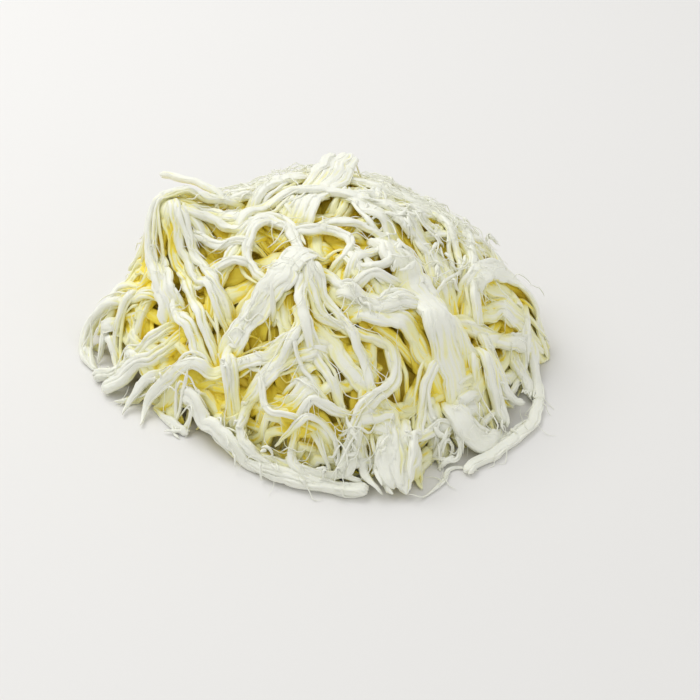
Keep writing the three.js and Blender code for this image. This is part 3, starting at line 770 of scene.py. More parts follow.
def dive(places, step):
    """A strand's places with its far end run on and sunk under its neighbours."""
    ahead = unit(places[-1] - places[-4]) * (1, 1, 0)
    onward = places[-1] + ahead * step * np.arange(1, round(DIVE / step) + 1)[:, None]
    ground = mound_height(onward[:, 0], onward[:, 1])
    over = places[-1, 2] - mound_height(*places[-1, :2])
    onward[:, 2] = np.minimum(onward[:, 2], ground + over)
    inland = ground > DIVE_ONTO
    onward = onward[:np.argmin(inland)] if not inland.all() else onward
    places = np.vstack([places, onward])
    from_end = np.arange(len(places))[::-1] * step
    share = SHORT_SINK if len(onward) < 2 else 1
    places[:, 2] -= SINK * (1 - smooth_step(from_end, 0, DIVE + 6)) * share
    return places


def shown_line(strand, spacing, rng):
    """The line that a laid strand is shown along, with some sway and with its hidden ends
    under its neighbours, and the distance along it."""
    places = strand.places
    step = strand.length / (len(places) - 1)
    if strand.ends[0] == "h":
        places = dive(places[::-1], step)[::-1]
    if strand.ends[1] == "h":
        places = dive(places, step)
    length = np.linalg.norm(np.diff(places, axis=0), axis=1).sum()
    rings = max(6, round(length / spacing))
    old, new = np.linspace(0, 1, len(places)), np.linspace(0, 1, rings + 1)
    line = evened(np.stack([np.interp(new, old, column) for column in places.T], axis=1), 3)
    at = new * length
    side, up = section_frame(line)
    line += side * (SWAY * wander(at, 22, rng))[:, None]
    line += up * (0.3 * SWAY * wander(at, 17, rng))[:, None]
    return line, at


def end_shape(strand, at, rng):
    """Share of the full width along a strand: torn ends run out slim, cut ones stay blunt."""
    share = np.ones(len(at))
    for form, away in zip(strand.ends, (at, at[-1] - at)):
        if form == "p":
            grown = 0.1 + 0.9 * smooth_step(away, -2, 1.6 * TAPER_LENGTH)
        elif form == "t":
            taper = TAPER_LENGTH * rng.uniform(0.5, 0.9)
            grown = 0.36 + 0.64 * smooth_step(away, 0, taper) ** 0.8
        elif form == "c":
            grown = 0.9 + 0.1 * smooth_step(away, 0, strand.width / 2)
        else:
            grown = 0.4 + 0.6 * smooth_step(away, 0, TAPER_LENGTH)
        share = np.minimum(share, grown)
    return share


def add_strand(bundle, strand, spacing, detail=1.0):
    """Adds one laid strand: its members side by side, each ribbed. Spacing is that of the
    rings along them, and detail the share of the facets round them."""
    rng = bundle.rng
    members, ribs_per_mm, crease, twist, edge, box = KINDS[strand.kind]
    line, at = shown_line(strand, spacing, rng)
    roll = math.radians(13) * wander(at, 50, rng)
    side, up = section_frame(line, roll)
    whole = 1 + edge * wander(at, 15, rng)
    twist = twist * rng.choice([-1, 1])
    turn = 2 * math.pi * twist * at + rng.uniform(-0.3, 0.3)
    for across, above, wide, high in members:
        across_at = across * np.cos(turn) - above * np.sin(turn) + 0.05 * wander(at, 26, rng)
        above_at = above * np.cos(turn) + 0.6 * across * np.sin(turn) + 0.04 * wander(at, 19, rng)
        shape = end_shape(strand, at, rng)
        own = line + side * (across_at * strand.width * whole * shape)[:, None]
        own = own + up * (above_at * strand.thick * shape)[:, None]
        first, last = 0, len(at)
        if strand.ends[0] == "t":
            first = rng.integers(0, max(1, round(RAGGED / spacing)))
        if strand.ends[1] == "t":
            last -= rng.integers(0, max(1, round(RAGGED / spacing)))
        cut = slice(first, max(last, first + 6))
        widths = strand.width * wide * whole * shape * (1 + 0.10 * wander(at, 13, rng))
        thicks = strand.thick * high * np.sqrt(shape) * (1 + 0.08 * wander(at, 16, rng))
        width = strand.width * wide
        sides = max(10, 2 * round(detail * (5 + 1.6 * width)))
        bundle.bend(sides, own[cut], widths[cut], thicks[cut],
                    ribs=max(2, round(2 + ribs_per_mm * width)), crease=crease, twist=twist,
                    box=box, roll=roll[cut], round_end=0.7 if strand.ends == "hc" else None,
                    tone=rng.uniform(-0.03, 0.03))


def add_splits(bundle, strand, spacing):
    """Adds thin cords that part from a strand's edge, hang beside it and join it again."""
    rng = bundle.rng
    line, at = shown_line(strand, spacing, rng)
    side, up = section_frame(line)
    for _ in range(round(strand.length * SPLITS_PER_MM * rng.uniform(0.5, 1.5))):
        long = min(rng.uniform(14, 42), 0.9 * at[-1])
        start = rng.uniform(0, at[-1] - long)
        part = (at >= start) & (at <= start + long)
        if part.sum() < SHORTEST:
            continue
        share = np.linspace(0, 1, part.sum())
        edge = rng.choice([-1, 1])
        gap = rng.uniform(0.8, 3.6) * np.sin(math.pi * share) ** 0.8
        away = edge * (strand.width * rng.uniform(0.22, 0.42) + gap)
        drop = 0.12 * strand.thick * rng.uniform(-1, 1) - 0.45 * gap
        own = line[part] + side[part] * away[:, None] + up[part] * drop[:, None]
        width = rng.uniform(1.0, 2.6) * (0.55 + 0.45 * np.sin(math.pi * share))
        bundle.bend(10, own, width * (1 + 0.12 * wander(at[part], 9, rng)), 0.8 * width,
                    ribs=3, crease=0.2, twist=0.01)


def add_thread(bundle, start, heading, length, thick, curl):
    """Adds a hair-thin thread that wanders off over what it lies on, if it has room."""
    rng = bundle.rng
    at = np.linspace(0, length, THREAD_RINGS + 1)
    turn = heading + curl * (at / length) ** 1.5 + 0.5 * wander(at, max(6, 0.8 * length), rng)
    step = length / THREAD_RINGS
    x = start[0] + np.concatenate([[0], np.cumsum(np.cos(turn[:-1]))]) * step
    y = start[1] + np.concatenate([[0], np.cumsum(np.sin(turn[:-1]))]) * step
    rise = 0.5 * wander(at, 9, rng)
    under = laid()["pile"].height(x, y) + 0.3 + np.maximum(0, rise)
    if start[2] - under.min() > THREAD_FALL:
        return
    height = np.maximum(under, start[2] - THREAD_DROOP * at)
    height[0] = start[2]
    for _ in range(4):
        height = evened(height, 1)
        height = np.maximum(height, np.minimum(under, height + 1))
    line = np.column_stack([x, y, np.maximum(height, thick)])
    if (line > bundle.high - 1).any() or (line[:, :2] < bundle.low[:2] + 1).any():
        return
    slim = 1 - 0.6 * smooth_step(at, 0.5 * length, length)
    bundle.bend(THREAD_SIDES, line, thick * slim, thick * slim)


# ---- materials -------------------------------------------------------------------------


def add_node(tree, kind, inputs, **settings):
    """Adds a shader node. Its inputs, by name or number, are values or sockets to link."""
    node = tree.nodes.new(kind)
    for name, value in settings.items():
        setattr(node, name, value)
    for key, value in inputs.items():
        if isinstance(value, bpy.types.NodeSocket):
            tree.links.new(value, node.inputs[key])
        else:
            node.inputs[key].default_value = value
    return node


def add_math(tree, operation, *values):
    """Adds a sum on values or sockets, and gives its result."""
    inputs = dict(enumerate(values))
    return add_node(tree, "ShaderNodeMath", inputs, operation=operation).outputs[0]


def add_noise(tree, vector, **inputs):
    """Adds a noise texture in the fibres' own directions, and gives its value."""
    return add_node(tree, "ShaderNodeTexNoise", {"Vector": vector, **inputs}).outputs["Fac"]


def add_attribute(tree, name):
    """Adds one of the vectors stored on the pieces."""
    return add_node(tree, "ShaderNodeAttribute", {}, attribute_name=name).outputs["Vector"]


def add_stretch(tree, vector, along):
    """Adds a scaling of the fibres' vector along them, so that a noise runs out in streaks."""
    inputs = {0: vector, 1: (1, 1, along)}
    return add_node(tree, "ShaderNodeVectorMath", inputs, operation="MULTIPLY").outputs[0]


def new_group(name, inputs, outputs):
    """A shader node group with named inputs and outputs: the tree and its two end nodes."""
    tree = bpy.data.node_groups.new(name, "ShaderNodeTree")
    for label, (kind, value) in inputs.items():
        socket = tree.interface.new_socket(name=label, in_out="INPUT", socket_type=kind)
        socket.default_value = value
    for label, kind in outputs.items():
        tree.interface.new_socket(name=label, in_out="OUTPUT", socket_type=kind)
    return tree, tree.nodes.new("NodeGroupInput"), tree.nodes.new("NodeGroupOutput")


def curd_colour_shade_group():
    """Colour of the curd with painted shade: cream where it is open to the light, painted
    shade of butter and then gold where less light reaches down in the heap.
    """
    name = "Curd colour"
    if name in bpy.data.node_groups:
        return bpy.data.node_groups[name]
    tree, given, out = new_group(name, {
        "Cream": ("NodeSocketColor", (0.90, 0.88, 0.76, 1)),
        "Painted half shade": ("NodeSocketColor", (0.86, 0.79, 0.45, 1)),
        "Painted deep shade": ("NodeSocketColor", (0.75, 0.55, 0.07, 1)),
        "Painted crease shade": ("NodeSocketFloat", 0.5),
    }, {"Color": "NodeSocketColor"})
    grain = add_attribute(tree, "grain")
    finish = add_node(tree, "ShaderNodeSeparateXYZ", {0: add_attribute(tree, "finish")})
    open_to_light, groove, tone = finish.outputs
    # painted crease shade: grooves between the ribs count as less lit
    crease_shade = add_math(tree, "MULTIPLY", groove, given.outputs["Painted crease shade"])
    light = add_math(tree, "SUBTRACT", open_to_light, crease_shade)
    # random patches, streaks and each bar's tone are the curd's own tone, added to the painted
    # light level
    patches = add_noise(tree, grain, Scale=0.12, Detail=2)
    light = add_math(tree, "ADD", light, add_math(tree, "MULTIPLY_ADD", patches, 0.16, -0.08))
    light = add_math(tree, "ADD", light, tone)
    streaks = add_noise(tree, add_stretch(tree, grain, 0.05), Scale=0.9, Detail=2)
    light = add_math(tree, "MULTIPLY_ADD", streaks, 0.5, light)
    light = add_math(tree, "ADD", light, -0.27)
    # painted shade: the less light a point gets, the more its colour runs from cream through butter
    # to gold
    colour = given.outputs["Painted deep shade"]
    for low, high, tint in ((0.27, 0.49, "Painted half shade"), (0.51, 0.82, "Cream")):
        share = add_node(tree, "ShaderNodeMapRange",
                         {"Value": light, "From Min": low, "From Max": high},
                         interpolation_type="SMOOTHSTEP")
        mix = add_node(tree, "ShaderNodeMix",
                       {"Factor": share.outputs["Result"], "A": colour, "B": given.outputs[tint]},
                       data_type="RGBA")
        colour = mix.outputs["Result"]
    tree.links.new(colour, out.inputs["Color"])
    return tree


def fibre_relief_group():
    """Height and roughness of the fine fibres that run along every strand."""
    name = "Fibre relief"
    if name in bpy.data.node_groups:
        return bpy.data.node_groups[name]
    tree, given, out = new_group(name, {"Fibres per mm": ("NodeSocketFloat", 1.6)},
                                 {"Height": "NodeSocketFloat", "Roughness": "NodeSocketFloat"})
    grain = add_attribute(tree, "grain")
    fibres = add_noise(tree, add_stretch(tree, grain, 0.06), Detail=3, Roughness=0.55,
                       Scale=given.outputs["Fibres per mm"])
    lumps = add_noise(tree, grain, Scale=0.55, Detail=2)
    tree.links.new(add_math(tree, "MULTIPLY_ADD", lumps, 0.5, fibres), out.inputs["Height"])
    rough = add_node(tree, "ShaderNodeMapRange", {"Value": lumps, "To Min": 0.34, "To Max": 0.56})
    tree.links.new(rough.outputs["Result"], out.inputs["Roughness"])
    return tree


def curd_material(name):
    """Pulled curd: soft, slightly translucent, moist, with fine fibres along it."""
    if name in bpy.data.materials:
        return bpy.data.materials[name]
    relief, crease, glow = FINISHES[name]
    settings = bpy.context.scene.cheese
    material = bpy.data.materials.new(name)
    material.use_nodes = True
    tree = material.node_tree
    shader = tree.nodes["Principled BSDF"]
    for socket, value in {
        "Subsurface Weight": glow, "Subsurface Radius": (1.0, 0.95, 0.8),
        "Subsurface Scale": 1.2 * MM, "IOR": 1.42, "Specular IOR Level": 0.4,
    }.items():
        shader.inputs[socket].default_value = value
    # the base colour carries painted shade from the openness and crease marks
    colour = tree.nodes.new("ShaderNodeGroup")
    colour.node_tree = curd_colour_shade_group()
    for socket, value in (("Cream", settings.cream), ("Painted half shade", settings.painted_half_shade),
                          ("Painted deep shade", settings.painted_deep_shade)):
        colour.inputs[socket].default_value = (*value, 1)
    # strength of the painted crease shade
    colour.inputs["Painted crease shade"].default_value = crease
    fibres = tree.nodes.new("ShaderNodeGroup")
    fibres.node_tree = fibre_relief_group()
    fibres.inputs["Fibres per mm"].default_value = settings.fibres_per_mm
    bump = add_node(tree, "ShaderNodeBump", {"Strength": relief, "Distance": 0.6 * MM,
                                             "Height": fibres.outputs["Height"]})
    tree.links.new(colour.outputs["Color"], shader.inputs["Base Color"])
    tree.links.new(bump.outputs["Normal"], shader.inputs["Normal"])
    tree.links.new(fibres.outputs["Roughness"], shader.inputs["Roughness"])
    return material


# ---- settings --------------------------------------------------------------------------


class CheeseSettings(PropertyGroup):
    """What a user would change of the heap and the stage."""

    cream: FloatVectorProperty(
        name="Cream", description="Colour of curd that lies open to the light",
        default=(0.91, 0.915, 0.81), subtype="COLOR", min=0, max=1)
    # painted half shade: the colour given to curd in the shade of other strands
    painted_half_shade: FloatVectorProperty(
        name="Painted half shade", description="Colour of curd in the shade of other strands",
        default=(0.92, 0.90, 0.52), subtype="COLOR", min=0, max=1)
    # painted deep shade: the gold given to curd deep in the heap, where the least light reaches
    painted_deep_shade: FloatVectorProperty(
        name="Painted deep shade", description="Colour of curd deep down in the heap",
        default=(0.98, 0.80, 0.09), subtype="COLOR", min=0, max=1)
    fibres_per_mm: FloatProperty(
        name="Fibres per mm", description="How fine the fibres of the curd are",
        default=1.5, min=0.1, max=10)
    followers_per_cm: FloatProperty(
        name="Followers per cm", description="Finer strands beside each cm of a main strand",
        default=0.36, min=0, max=2)
    under_strands: IntProperty(
        name="Under strands", description="Strands that fill the heap under those that show",
        default=88, min=0, max=400)
    rim_strands: IntProperty(
        name="Rim strands", description="Strands that run along the heap's rim",
        default=44, min=0, max=200)
    threads: IntProperty(
        name="Threads", description="Thin threads torn off the strands",
        default=640, min=0, max=2000)
    floor_colour: FloatVectorProperty(
        name="Floor", description="Colour of the floor",
        default=(0.80, 0.79, 0.77), subtype="COLOR", min=0, max=1)
    key_power: FloatProperty(
        name="Key light", description="Power of the large soft light at the back left",
        default=7.6, min=0, unit="POWER")
    fill_power: FloatProperty(
        name="Fill light", description="Power of the soft light at the front right",
        default=1.6, min=0, unit="POWER")
    sky_strength: FloatProperty(
        name="Sky", description="Strength of the even light from all round",
        default=0.66, min=0, max=5)


# ---- operators -------------------------------------------------------------------------


class CHEESE_OT_core(Operator):
    """Lumpy core that closes the heap where the eye looks in between strands"""

    bl_idname = "cheese.core"
    bl_label = "Core"

    depth = 9           # how far it lies under the mound, in millimetres
    inset = 1.15        # mound's outline over the core's
    lumps = ((23, 1.6), (13, 1.1), (7, 0.6))    # wavelength and height of its lumps

    def execute(self, context):
        shape = bmesh.new()
        bmesh.ops.create_uvsphere(shape, u_segments=96, v_segments=36, radius=1)
        mesh = as_mesh(shape, "core")
        x, y, z = np.array([vertex.co for vertex in mesh.vertices]).T
        turn, radius = np.arctan2(y, x), np.hypot(x, y)
        reach = np.zeros(len(turn))
        for r in range(PILE_REACH):
            inside = self.height(r * np.cos(turn), r * np.sin(turn)) > CORE_RIM
            reach = np.where(inside, r, reach)
        rng = np.random.default_rng(5)
        far = reach * radius
        x, y = far * np.cos(turn), far * np.sin(turn)
        lumpy = np.zeros(len(x))
        for wavelength, height in self.lumps:
            for way in rng.uniform(0, math.pi, 3):
                at = x * math.cos(way) + y * math.sin(way)
                lumpy += height * np.sin(2 * math.pi * at / wavelength + rng.uniform(0, 6.3)) / 2
        # the upper half of the ball is the top, its equator the edge, and the rest the foot
        top = np.maximum(CORE_RIM, self.height(x, y) + lumpy)
        height = np.where(z > 0.02, top, np.where(z < -0.02, 0.2, CORE_RIM * 0.6))
        places = np.stack([x, y, height], axis=1)
        set_places(mesh, places)
        add_piece("core", mesh, places, np.zeros(places.shape), "deep_curd")
        return {"FINISHED"}

    def height(self, x, y):
        """Height of this core."""
        return mound_height(x * self.inset, y * self.inset) - self.depth


class CHEESE_OT_under_strands(Operator):
    """Finer strands under those that show, most of them running beside one of these"""

    bl_idname = "cheese.under_strands"
    bl_label = "Under strands"

    flat_share = 0.5    # of the followers, how many are wide and flat

    def execute(self, context):
        settings = context.scene.cheese
        bundle = Bundle("following_strands")
        for strand in laid()["main"] + laid()["fine"]:
            for _ in range(round(strand.length * settings.followers_per_cm / 10)):
                self.add_follower(bundle, strand)
        for strand in laid()["loose"] + laid()["back"]:
            if strand.places[-1, 1] > 0:
                for _ in range(round(0.6 * strand.length * settings.followers_per_cm / 10)):
                    self.add_follower(bundle, strand)
        bundle.piece()
        bundle = Bundle("under_strands")
        for i in range(settings.under_strands):
            self.add_filler(bundle, i, (i + 0.5) / settings.under_strands)
        for i in range(settings.rim_strands):
            self.add_rim(bundle, i * 360 / settings.rim_strands)
        for i in range(FOOT_STRANDS):
            self.add_foot(bundle, 8 + 160 * (i + 0.5) / FOOT_STRANDS)
        bundle.piece()
        return {"FINISHED"}

    def add_follower(self, bundle, strand):
        """Adds a strand that runs beside a main one, a little lower."""
        rng = bundle.rng
        count = len(strand.places)
        first = int(count * rng.uniform(0, 0.4))
        last = max(first + 8, int(count * rng.uniform(0.6, 1)))
        beside = strand.places[first:last]
        if len(beside) < SHORTEST:
            return
        at = np.linspace(0, STATION * (len(beside) - 1), len(beside))
        forward = unit(np.gradient(beside[:, :2], axis=0))
        across = np.stack([-forward[:, 1], forward[:, 0]], axis=1)
        edge = rng.choice([-1, 1])
        away = strand.width * rng.uniform(0.2, 0.6) + rng.uniform(0, 4.5)
        fan = rng.uniform(-0.12, 0.16) * (at - at[-1] * rng.uniform(0.2, 0.8))
        off = edge * (away + fan) + 1.1 * wander(at, 28, rng)
        flat = beside[:, :2] + across * off[:, None]
        mound = mound_height(*flat.T)
        high = mound > FOLLOWED_ABOVE
        height = mound + 0.5 * (beside[:, 2] - mound) - rng.uniform(1.6, 4.6)
        if rng.uniform() < self.flat_share:
            width = rng.uniform(5, 10)
            thick = width * rng.uniform(0.2, 0.3)
        else:
            width = rng.uniform(1.8, 4.8)
            thick = width * rng.uniform(0.6, 0.85)
        if unbroken(high):
            self.add_sunk(bundle, flat[high], height[high], width, thick)

    def add_filler(self, bundle, i, share):
        """Adds a strand that fills the heap."""
        rng = bundle.rng
        turn = math.radians(i * GOLDEN_ANGLE)
        out = 0.9 * math.sqrt(share)
        far = out * mound_reach(np.degrees(turn) % 360)
        middle = np.array([far * math.cos(turn), far * math.sin(turn)])
        swing = math.pi / 2 * smooth_step(out, 0.5, 0.85) * rng.choice([-1, 1])
        length = rng.uniform(30, 60)
        at = np.linspace(-0.5, 0.5, round(length / 2.4)) * length
        heading = turn + swing + rng.uniform(-0.8, 0.8) + rng.uniform(-0.02, 0.02) * at
        steps = np.stack([np.cos(heading), np.sin(heading)], axis=1) * (at[1] - at[0])
        walked = np.cumsum(steps, axis=0)
        flat = middle + walked - walked.mean(axis=0)
        turns = np.degrees(np.arctan2(flat[:, 1], flat[:, 0])) % 360
        inside = np.hypot(*flat.T) < 0.95 * mound_reach(turns)
        if not unbroken(inside):
            return
        flat = flat[inside]
        width = rng.uniform(3.5, 8)
        thick = width * rng.uniform(0.45, 0.7)
        height = mound_height(*flat.T) - rng.uniform(2.5, 6.5) - thick / 2
        self.add_sunk(bundle, flat, height, width, thick)

    def add_rim(self, bundle, turn):
        """Adds a strand that runs along the heap's rim."""
        rng = bundle.rng
        half = rng.uniform(14, 28)
        turns = turn + rng.uniform(-5, 5) + np.linspace(-half, half, 20)
        out = rng.uniform(0.76, 0.91) + rng.uniform(-0.002, 0.002) * (turns - turn)
        flat = polar(out * mound_reach(turns % 360), turns)
        width = rng.uniform(3, 6.5)
        thick = width * rng.uniform(0.6, 0.8)
        height = mound_height(*flat.T) - rng.uniform(3, 6) - thick / 2
        self.add_sunk(bundle, flat, height, width, thick)

    def add_foot(self, bundle, turn):
        """Adds a strand that lies along the heap's foot, low at the back."""
        rng = bundle.rng
        turns = turn + np.linspace(-1, 1, 14) * rng.uniform(8, 14)
        out = rng.uniform(0.88, 0.95) - rng.uniform(-0.004, 0.004) * (turns - turn)
        flat = polar(out * mound_reach(turns), turns)
        width = rng.uniform(3, 6)
        thick = width * rng.uniform(0.6, 0.8)
        height = rng.uniform(0.5, 0.9) * mound_height(*flat.T) - thick / 2 + UNDER_DIVE / 2
        height = np.minimum(height, mound_height(*flat.T) - thick / 2)
        self.add_sunk(bundle, flat, height, width, thick)

    def add_sunk(self, bundle, flat, height, width, thick):
        """Adds a plain strand whose ends dive under its neighbours."""
        rng = bundle.rng
        at = travel(flat)
        near_end = np.minimum(at, at[-1] - at)
        # it stays under what shows, there and beside it
        top = laid()["pile"].height(*flat.T) - thick / 2
        padded = np.concatenate([top[:1], top, top[-1:]])
        top = np.minimum(np.minimum(padded[:-2], top), padded[2:])
        height = np.minimum(height + 0.7 * wander(at, 25, rng), top)
        height = height - UNDER_DIVE * (1 - smooth_step(near_end, 0, 12))
        line = np.column_stack([flat, np.maximum(height, 0.45 * thick)])
        slim = 0.35 + 0.65 * smooth_step(near_end, 0, 10)
        widths = width * slim * (1 + 0.12 * wander(at, 15, rng))
        bundle.bend(12, line, widths, thick * np.sqrt(slim),
                    ribs=max(3, round(2 + 0.9 * width)), crease=0.22, twist=0.004,
                    box=0.9, roll=0.35 * wander(at, 40, rng))


class CHEESE_OT_loose_strands(Operator):
    """Wide loose strands that swirl down to the table, and others across them at the back"""

    bl_idname = "cheese.loose_strands"
    bl_label = "Loose strands"

    tucked = 10     # a tucked strand ends where the mound is this high, in millimetres

    def execute(self, context):
        bundle = Bundle("loose_strands")
        for strand in laid()["loose"]:
            x, y = strand.places[-1, :2]
            if y < 22 or x < -50:
                self.tuck(strand)
            add_strand(bundle, strand, 2.6, 0.6)
        bundle.piece()
        bundle = Bundle("back_strands")
        for strand in laid()["back"]:
            add_strand(bundle, strand, 2.7, 0.6)
            if strand.width > 5:
                add_splits(bundle, strand, 2.2)
        bundle.piece()
        return {"FINISHED"}

    def tuck(self, strand):
        """Ends a strand that would show in front under the rim, where others run along it."""
        high = mound_height(strand.places[:, 0], strand.places[:, 1]) > self.tucked
        strand.places = strand.places[high]
        strand.length *= high.mean()
        strand.ends = "hh"


class CHEESE_OT_main_strands(Operator):
    """The strands that show, gathered in four pieces"""

    bl_idname = "cheese.main_strands"
    bl_label = "Main strands"

    def execute(self, context):
        for part in ("left", "front", "right", "top"):
            bundle = Bundle(f"{part}_strands")
            for strand in laid()["main"] + laid()["fine"]:
                if self.part(*strand.middle) != part:
                    continue
                add_strand(bundle, strand, 1.6)
                if strand.width > 4.2:
                    add_splits(bundle, strand, 2)
            bundle.piece()
        return {"FINISHED"}

    def part(self, x, y):
        """The part of the heap that a strand belongs to, by where its middle lies."""
        if x < -36:
            return "left"
        if y < -50:
            return "front"
        return "right" if x > 38 else "top"


class CHEESE_OT_threads(Operator):
    """Hair-thin threads torn off the strands, and frays at their torn ends"""

    bl_idname = "cheese.threads"
    bl_label = "Threads"

    def execute(self, context):
        bundle = Bundle("threads")
        rng = bundle.rng
        strands = laid()["back"] + laid()["main"] + laid()["fine"]
        total = sum(strand.length for strand in strands)
        for strand in strands:
            share = context.scene.cheese.threads * strand.length / total
            for _ in range(round(share * rng.uniform(0.4, 1.6))):
                self.add_at_edge(bundle, strand, rng.uniform(4, 17), rng.uniform(0.22, 0.55), 2.2)
            if strand.name in TATTERED:
                for _ in range(round(strand.length / 5)):
                    self.add_at_edge(bundle, strand, rng.uniform(2, 5), rng.uniform(0.7, 1.6), 1)
        for strand in strands + laid()["loose"]:
            if strand.ends[1] == "t":
                self.add_fray(bundle, strand)
        for thick, route in THREADS:
            self.add_laid_thread(bundle, thick, route)
        bundle.piece(fuse=False)
        return {"FINISHED"}

    def add_at_edge(self, bundle, strand, length, thick, curl):
        """Adds a thread that leaves a strand's edge."""
        rng = bundle.rng
        i = rng.integers(2, len(strand.places) - 3)
        forward = strand.places[i + 2] - strand.places[i - 2]
        along = math.atan2(forward[1], forward[0])
        edge = rng.choice([-1, 1])
        across = along + edge * math.pi / 2
        if strand.kind == "stick":    # it is smooth and sheds none
            return
        reach = 0.42 * strand.widths[i]
        start = strand.places[i] + (reach * math.cos(across), reach * math.sin(across), 0.3)
        heading = along + rng.choice([0, math.pi]) + edge * rng.uniform(0.1, 1.1)
        add_thread(bundle, start, heading, length, thick, rng.uniform(-curl, curl))

    def add_fray(self, bundle, strand):
        """Adds short thin ends where a strand is torn off."""
        rng = bundle.rng
        forward = strand.places[-1] - strand.places[-4]
        along = math.atan2(forward[1], forward[0])
        for _ in range(rng.integers(4, 8)):
            across = rng.uniform(-0.4, 0.4) * strand.width
            start = strand.places[-2] + (-across * math.sin(along), across * math.cos(along), 0)
            add_thread(bundle, start, along + rng.uniform(-0.5, 0.5), rng.uniform(3, 7),
                       rng.uniform(0.5, 1.3), rng.uniform(-0.8, 0.8))

    def add_laid_thread(self, bundle, thick, route):
        """Adds a thread along given points."""
        points, length = spaced_curve(route, 1.5)
        x, y, raised = points.T
        at = np.linspace(0, length, len(x))
        height = evened(laid()["pile"].height(x, y), 4)
        height += raised + 0.3 + 0.8 * np.sin(math.pi * at / length)
        slim = 0.4 + 0.6 * np.minimum(smooth_step(at, 0, 4), smooth_step(length - at, 0, 6))
        bundle.bend(6, np.column_stack([x, y, height]), thick * slim, thick * slim)


class CHEESE_OT_shreds(Operator):
    """Short torn shreds where the curd is pulled to pieces"""

    bl_idname = "cheese.shreds"
    bl_label = "Shreds"

    def execute(self, context):
        bundle = Bundle("shreds")
        for x, y, reach, count in SHREDDED:
            for _ in range(count):
                self.add_shred(bundle, x, y, reach)
        bundle.piece(fuse=False)
        return {"FINISHED"}

    def add_shred(self, bundle, x, y, reach):
        """Adds one shred, with an end that stands up a little."""
        rng = bundle.rng
        turn, far = rng.uniform(0, 2 * math.pi), reach * math.sqrt(rng.uniform(0, 1))
        length = rng.uniform(4, 11)
        at = np.linspace(-0.5, 0.5, 9) * length
        heading = rng.uniform(0, 2 * math.pi) + rng.uniform(-0.16, 0.16) * at
        flat = np.cumsum(np.stack([np.cos(heading), np.sin(heading)], axis=1), axis=0) * length / 8
        flat = flat - flat[4] + (x + far * math.cos(turn), y + far * math.sin(turn))
        height = evened(laid()["pile"].height(*flat.T), 3)
        rise = rng.uniform(0, 1.4) * smooth_step(at, 0, length / 2)
        width = rng.uniform(0.8, 2.6) * (0.3 + 0.7 * np.cos(math.pi * at / length))
        thick = rng.uniform(0.35, 0.6)
        line = np.column_stack([flat, height + rise - 0.4])
        bundle.bend(8, line, width, np.minimum(width, 2 * thick), roll=0.6 * wander(at, 8, rng))


class CHEESE_OT_painted_shade(Operator):
    """Marks how open to the light each point of the heap lies, as painted shade in its colour"""

    bl_idname = "cheese.depths"
    bl_label = "Painted shade"

    cell = 1.5                  # of the height map of the finished heap, in millimetres
    reach = 110                 # the map covers this far each way
    last = int(2 * reach / cell)
    lean = 0.8                  # how much of the mound's own slope is left out
    lift = 0.6                  # the light is taken this far over the skin
    # the table's bounce is painted light
    table_bounce = 0.42         # light thrown up by the table
    ways = 12                   # directions looked in
    looks = (3, 4.5, 6.5, 9, 13, 19, 28)    # distances looked at

    def execute(self, context):
        pieces = [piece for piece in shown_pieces() if "finish" in piece.data.attributes]
        places = {piece: mesh_places(piece.data) for piece in pieces}
        top = np.zeros((self.last + 1, self.last + 1))
        for piece in pieces:
            x, y, z = places[piece].T
            if piece.name not in ("threads", "shreds"):
                np.maximum.at(top, self.index(x, y), z)
        for axis in (0, 1):
            top = (np.roll(top, 1, axis) + 2 * top + np.roll(top, -1, axis)) / 4
        line = np.arange(self.last + 1) * self.cell - self.reach
        top -= self.lean * self.mound(*np.meshgrid(line, line))
        for piece in pieces:
            x, y, z = places[piece].T
            # painted shade: openness to the sky over the heap's height map, plus painted light from
            # the table near it, goes into the colour
            light = self.openness(top, x, y, z + self.lift - self.lean * self.mound(x, y))
            light += self.table_bounce * (1 - smooth_step(z, 3, 22))
            finish = piece.data.attributes["finish"].data
            values = np.empty(3 * len(x))
            finish.foreach_get("vector", values)
            values[::3] = light
            finish.foreach_set("vector", values)
        return {"FINISHED"}

    def mound(self, x, y):
        """Height of the mound under a place in the frame."""
        return mound_height(x + BOX_MIDDLE[0], y + BOX_MIDDLE[1])

    def index(self, x, y):
        """Row and column of a place."""
        column = np.clip(np.round((x + self.reach) / self.cell).astype(int), 0, self.last)
        row = np.clip(np.round((y + self.reach) / self.cell).astype(int), 0, self.last)
        return row, column

    def openness(self, top, x, y, z):
        """Share of the sky that a place sees over what lies round it."""
        total = np.zeros(len(x))
        for k in range(self.ways):
            turn = 2 * math.pi * (k + 0.5) / self.ways
            highest = np.zeros(len(x))
            for r in self.looks:
                there = top[self.index(x + r * math.cos(turn), y + r * math.sin(turn))]
                highest = np.maximum(highest, (there - z) / r)
            total += 1 - highest / np.sqrt(1 + highest ** 2)
        return total / self.ways


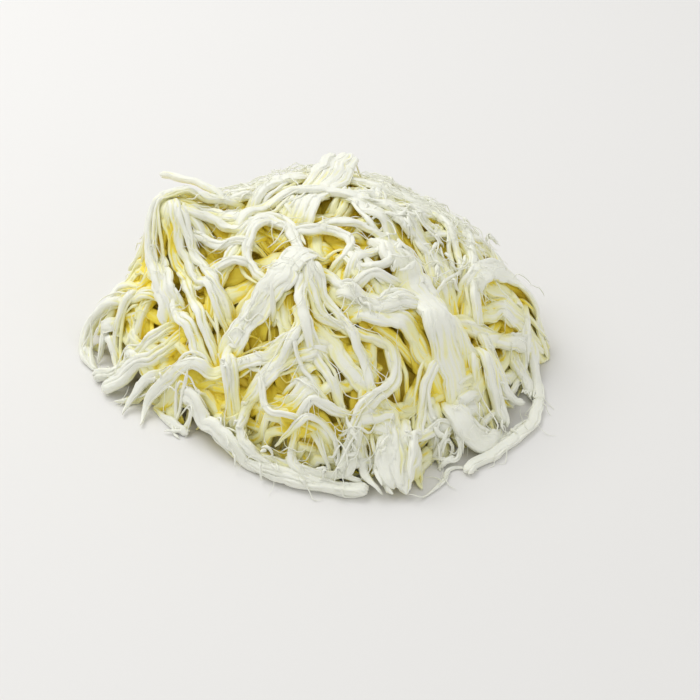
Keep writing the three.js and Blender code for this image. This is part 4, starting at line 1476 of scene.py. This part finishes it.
class CHEESE_OT_stage(Operator):
    """Floor, soft light and camera"""

    bl_idname = "cheese.stage"
    bl_label = "Stage"

    # in metres, but for the lens in millimetres
    camera_place = (0.0118, -0.6203, 0.4747)
    camera_target = (0.0137, -0.0020, 0)
    lens = 102.75

    def execute(self, context):
        settings = context.scene.cheese
        self.add_floor(settings)
        self.add_light("key light", settings.key_power, 0.9, (-0.55, 0.45, 0.95))
        self.add_light("fill light", settings.fill_power, 1.2, (0.8, -0.9, 0.7))
        world = bpy.data.worlds.new("studio")
        world.use_nodes = True
        background = world.node_tree.nodes["Background"]
        background.inputs["Color"].default_value = (1, 1, 1, 1)
        background.inputs["Strength"].default_value = settings.sky_strength
        context.scene.world = world
        context.scene.view_settings.view_transform = "Standard"
        self.add_camera(context)
        return {"FINISHED"}

    def add_floor(self, settings):
        """A wide plain floor."""
        shape = bmesh.new()
        bmesh.ops.create_grid(shape, x_segments=1, y_segments=1, size=6)
        mesh = as_mesh(shape, "floor")
        floor = bpy.data.objects.new("floor", mesh)
        bpy.context.scene.collection.objects.link(floor)
        material = bpy.data.materials.new("floor")
        material.use_nodes = True
        shader = material.node_tree.nodes["Principled BSDF"]
        shader.inputs["Base Color"].default_value = (*settings.floor_colour, 1)
        shader.inputs["Roughness"].default_value = 0.6
        mesh.materials.append(material)
        floor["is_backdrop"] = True

    def add_light(self, name, power, size, place):
        """A large square light that faces the heap."""
        data = bpy.data.lights.new(name, "AREA")
        data.energy, data.size = power, size
        light = bpy.data.objects.new(name, data)
        light.location = place
        light.rotation_euler = light.location.to_track_quat("Z", "Y").to_euler()
        bpy.context.scene.collection.objects.link(light)

    def add_camera(self, context):
        """Camera a little over half a metre off, looking down at the heap's front."""
        data = bpy.data.cameras.new("camera")
        data.lens, data.sensor_width = self.lens, 36
        camera = bpy.data.objects.new("camera", data)
        camera.location = self.camera_place
        back = [place - aim for place, aim in zip(camera.location, self.camera_target)]
        camera.rotation_euler = Vector(back).to_track_quat("Z", "Y").to_euler()
        context.scene.collection.objects.link(camera)
        context.scene.camera = camera


class CHEESE_PT_panel(Panel):
    """Lists the heap's settings and pieces"""

    bl_label = "Pulled string cheese"
    bl_idname = "CHEESE_PT_panel"
    bl_space_type = "VIEW_3D"
    bl_region_type = "UI"
    bl_category = "Cheese"

    def draw(self, context):
        column = self.layout.column()
        for name in CheeseSettings.__annotations__:
            column.prop(context.scene.cheese, name)
        for step in STEPS:
            column.operator(step.bl_idname)


STEPS = (
    CHEESE_OT_core, CHEESE_OT_under_strands, CHEESE_OT_loose_strands, CHEESE_OT_main_strands,
    CHEESE_OT_threads, CHEESE_OT_shreds, CHEESE_OT_painted_shade, CHEESE_OT_stage,
)
CLASSES = (CheeseSettings, *STEPS, CHEESE_PT_panel)


def register():
    for cls in CLASSES:
        bpy.utils.register_class(cls)
    bpy.types.Scene.cheese = PointerProperty(type=CheeseSettings)


def unregister():
    del bpy.types.Scene.cheese
    for cls in reversed(CLASSES):
        bpy.utils.unregister_class(cls)


def main():
    """Builds the heap."""
    register()
    bpy.ops.cheese.core()
    bpy.ops.cheese.under_strands()
    bpy.ops.cheese.loose_strands()
    bpy.ops.cheese.main_strands()
    bpy.ops.cheese.threads()
    bpy.ops.cheese.shreds()
    bpy.ops.cheese.depths()
    bpy.ops.cheese.stage()
    boxes = {"cad": [list(CAD_LOW), list(CAD_HIGH)], "visual": [list(c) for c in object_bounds()]}


if __name__ == "__main__":
    main()
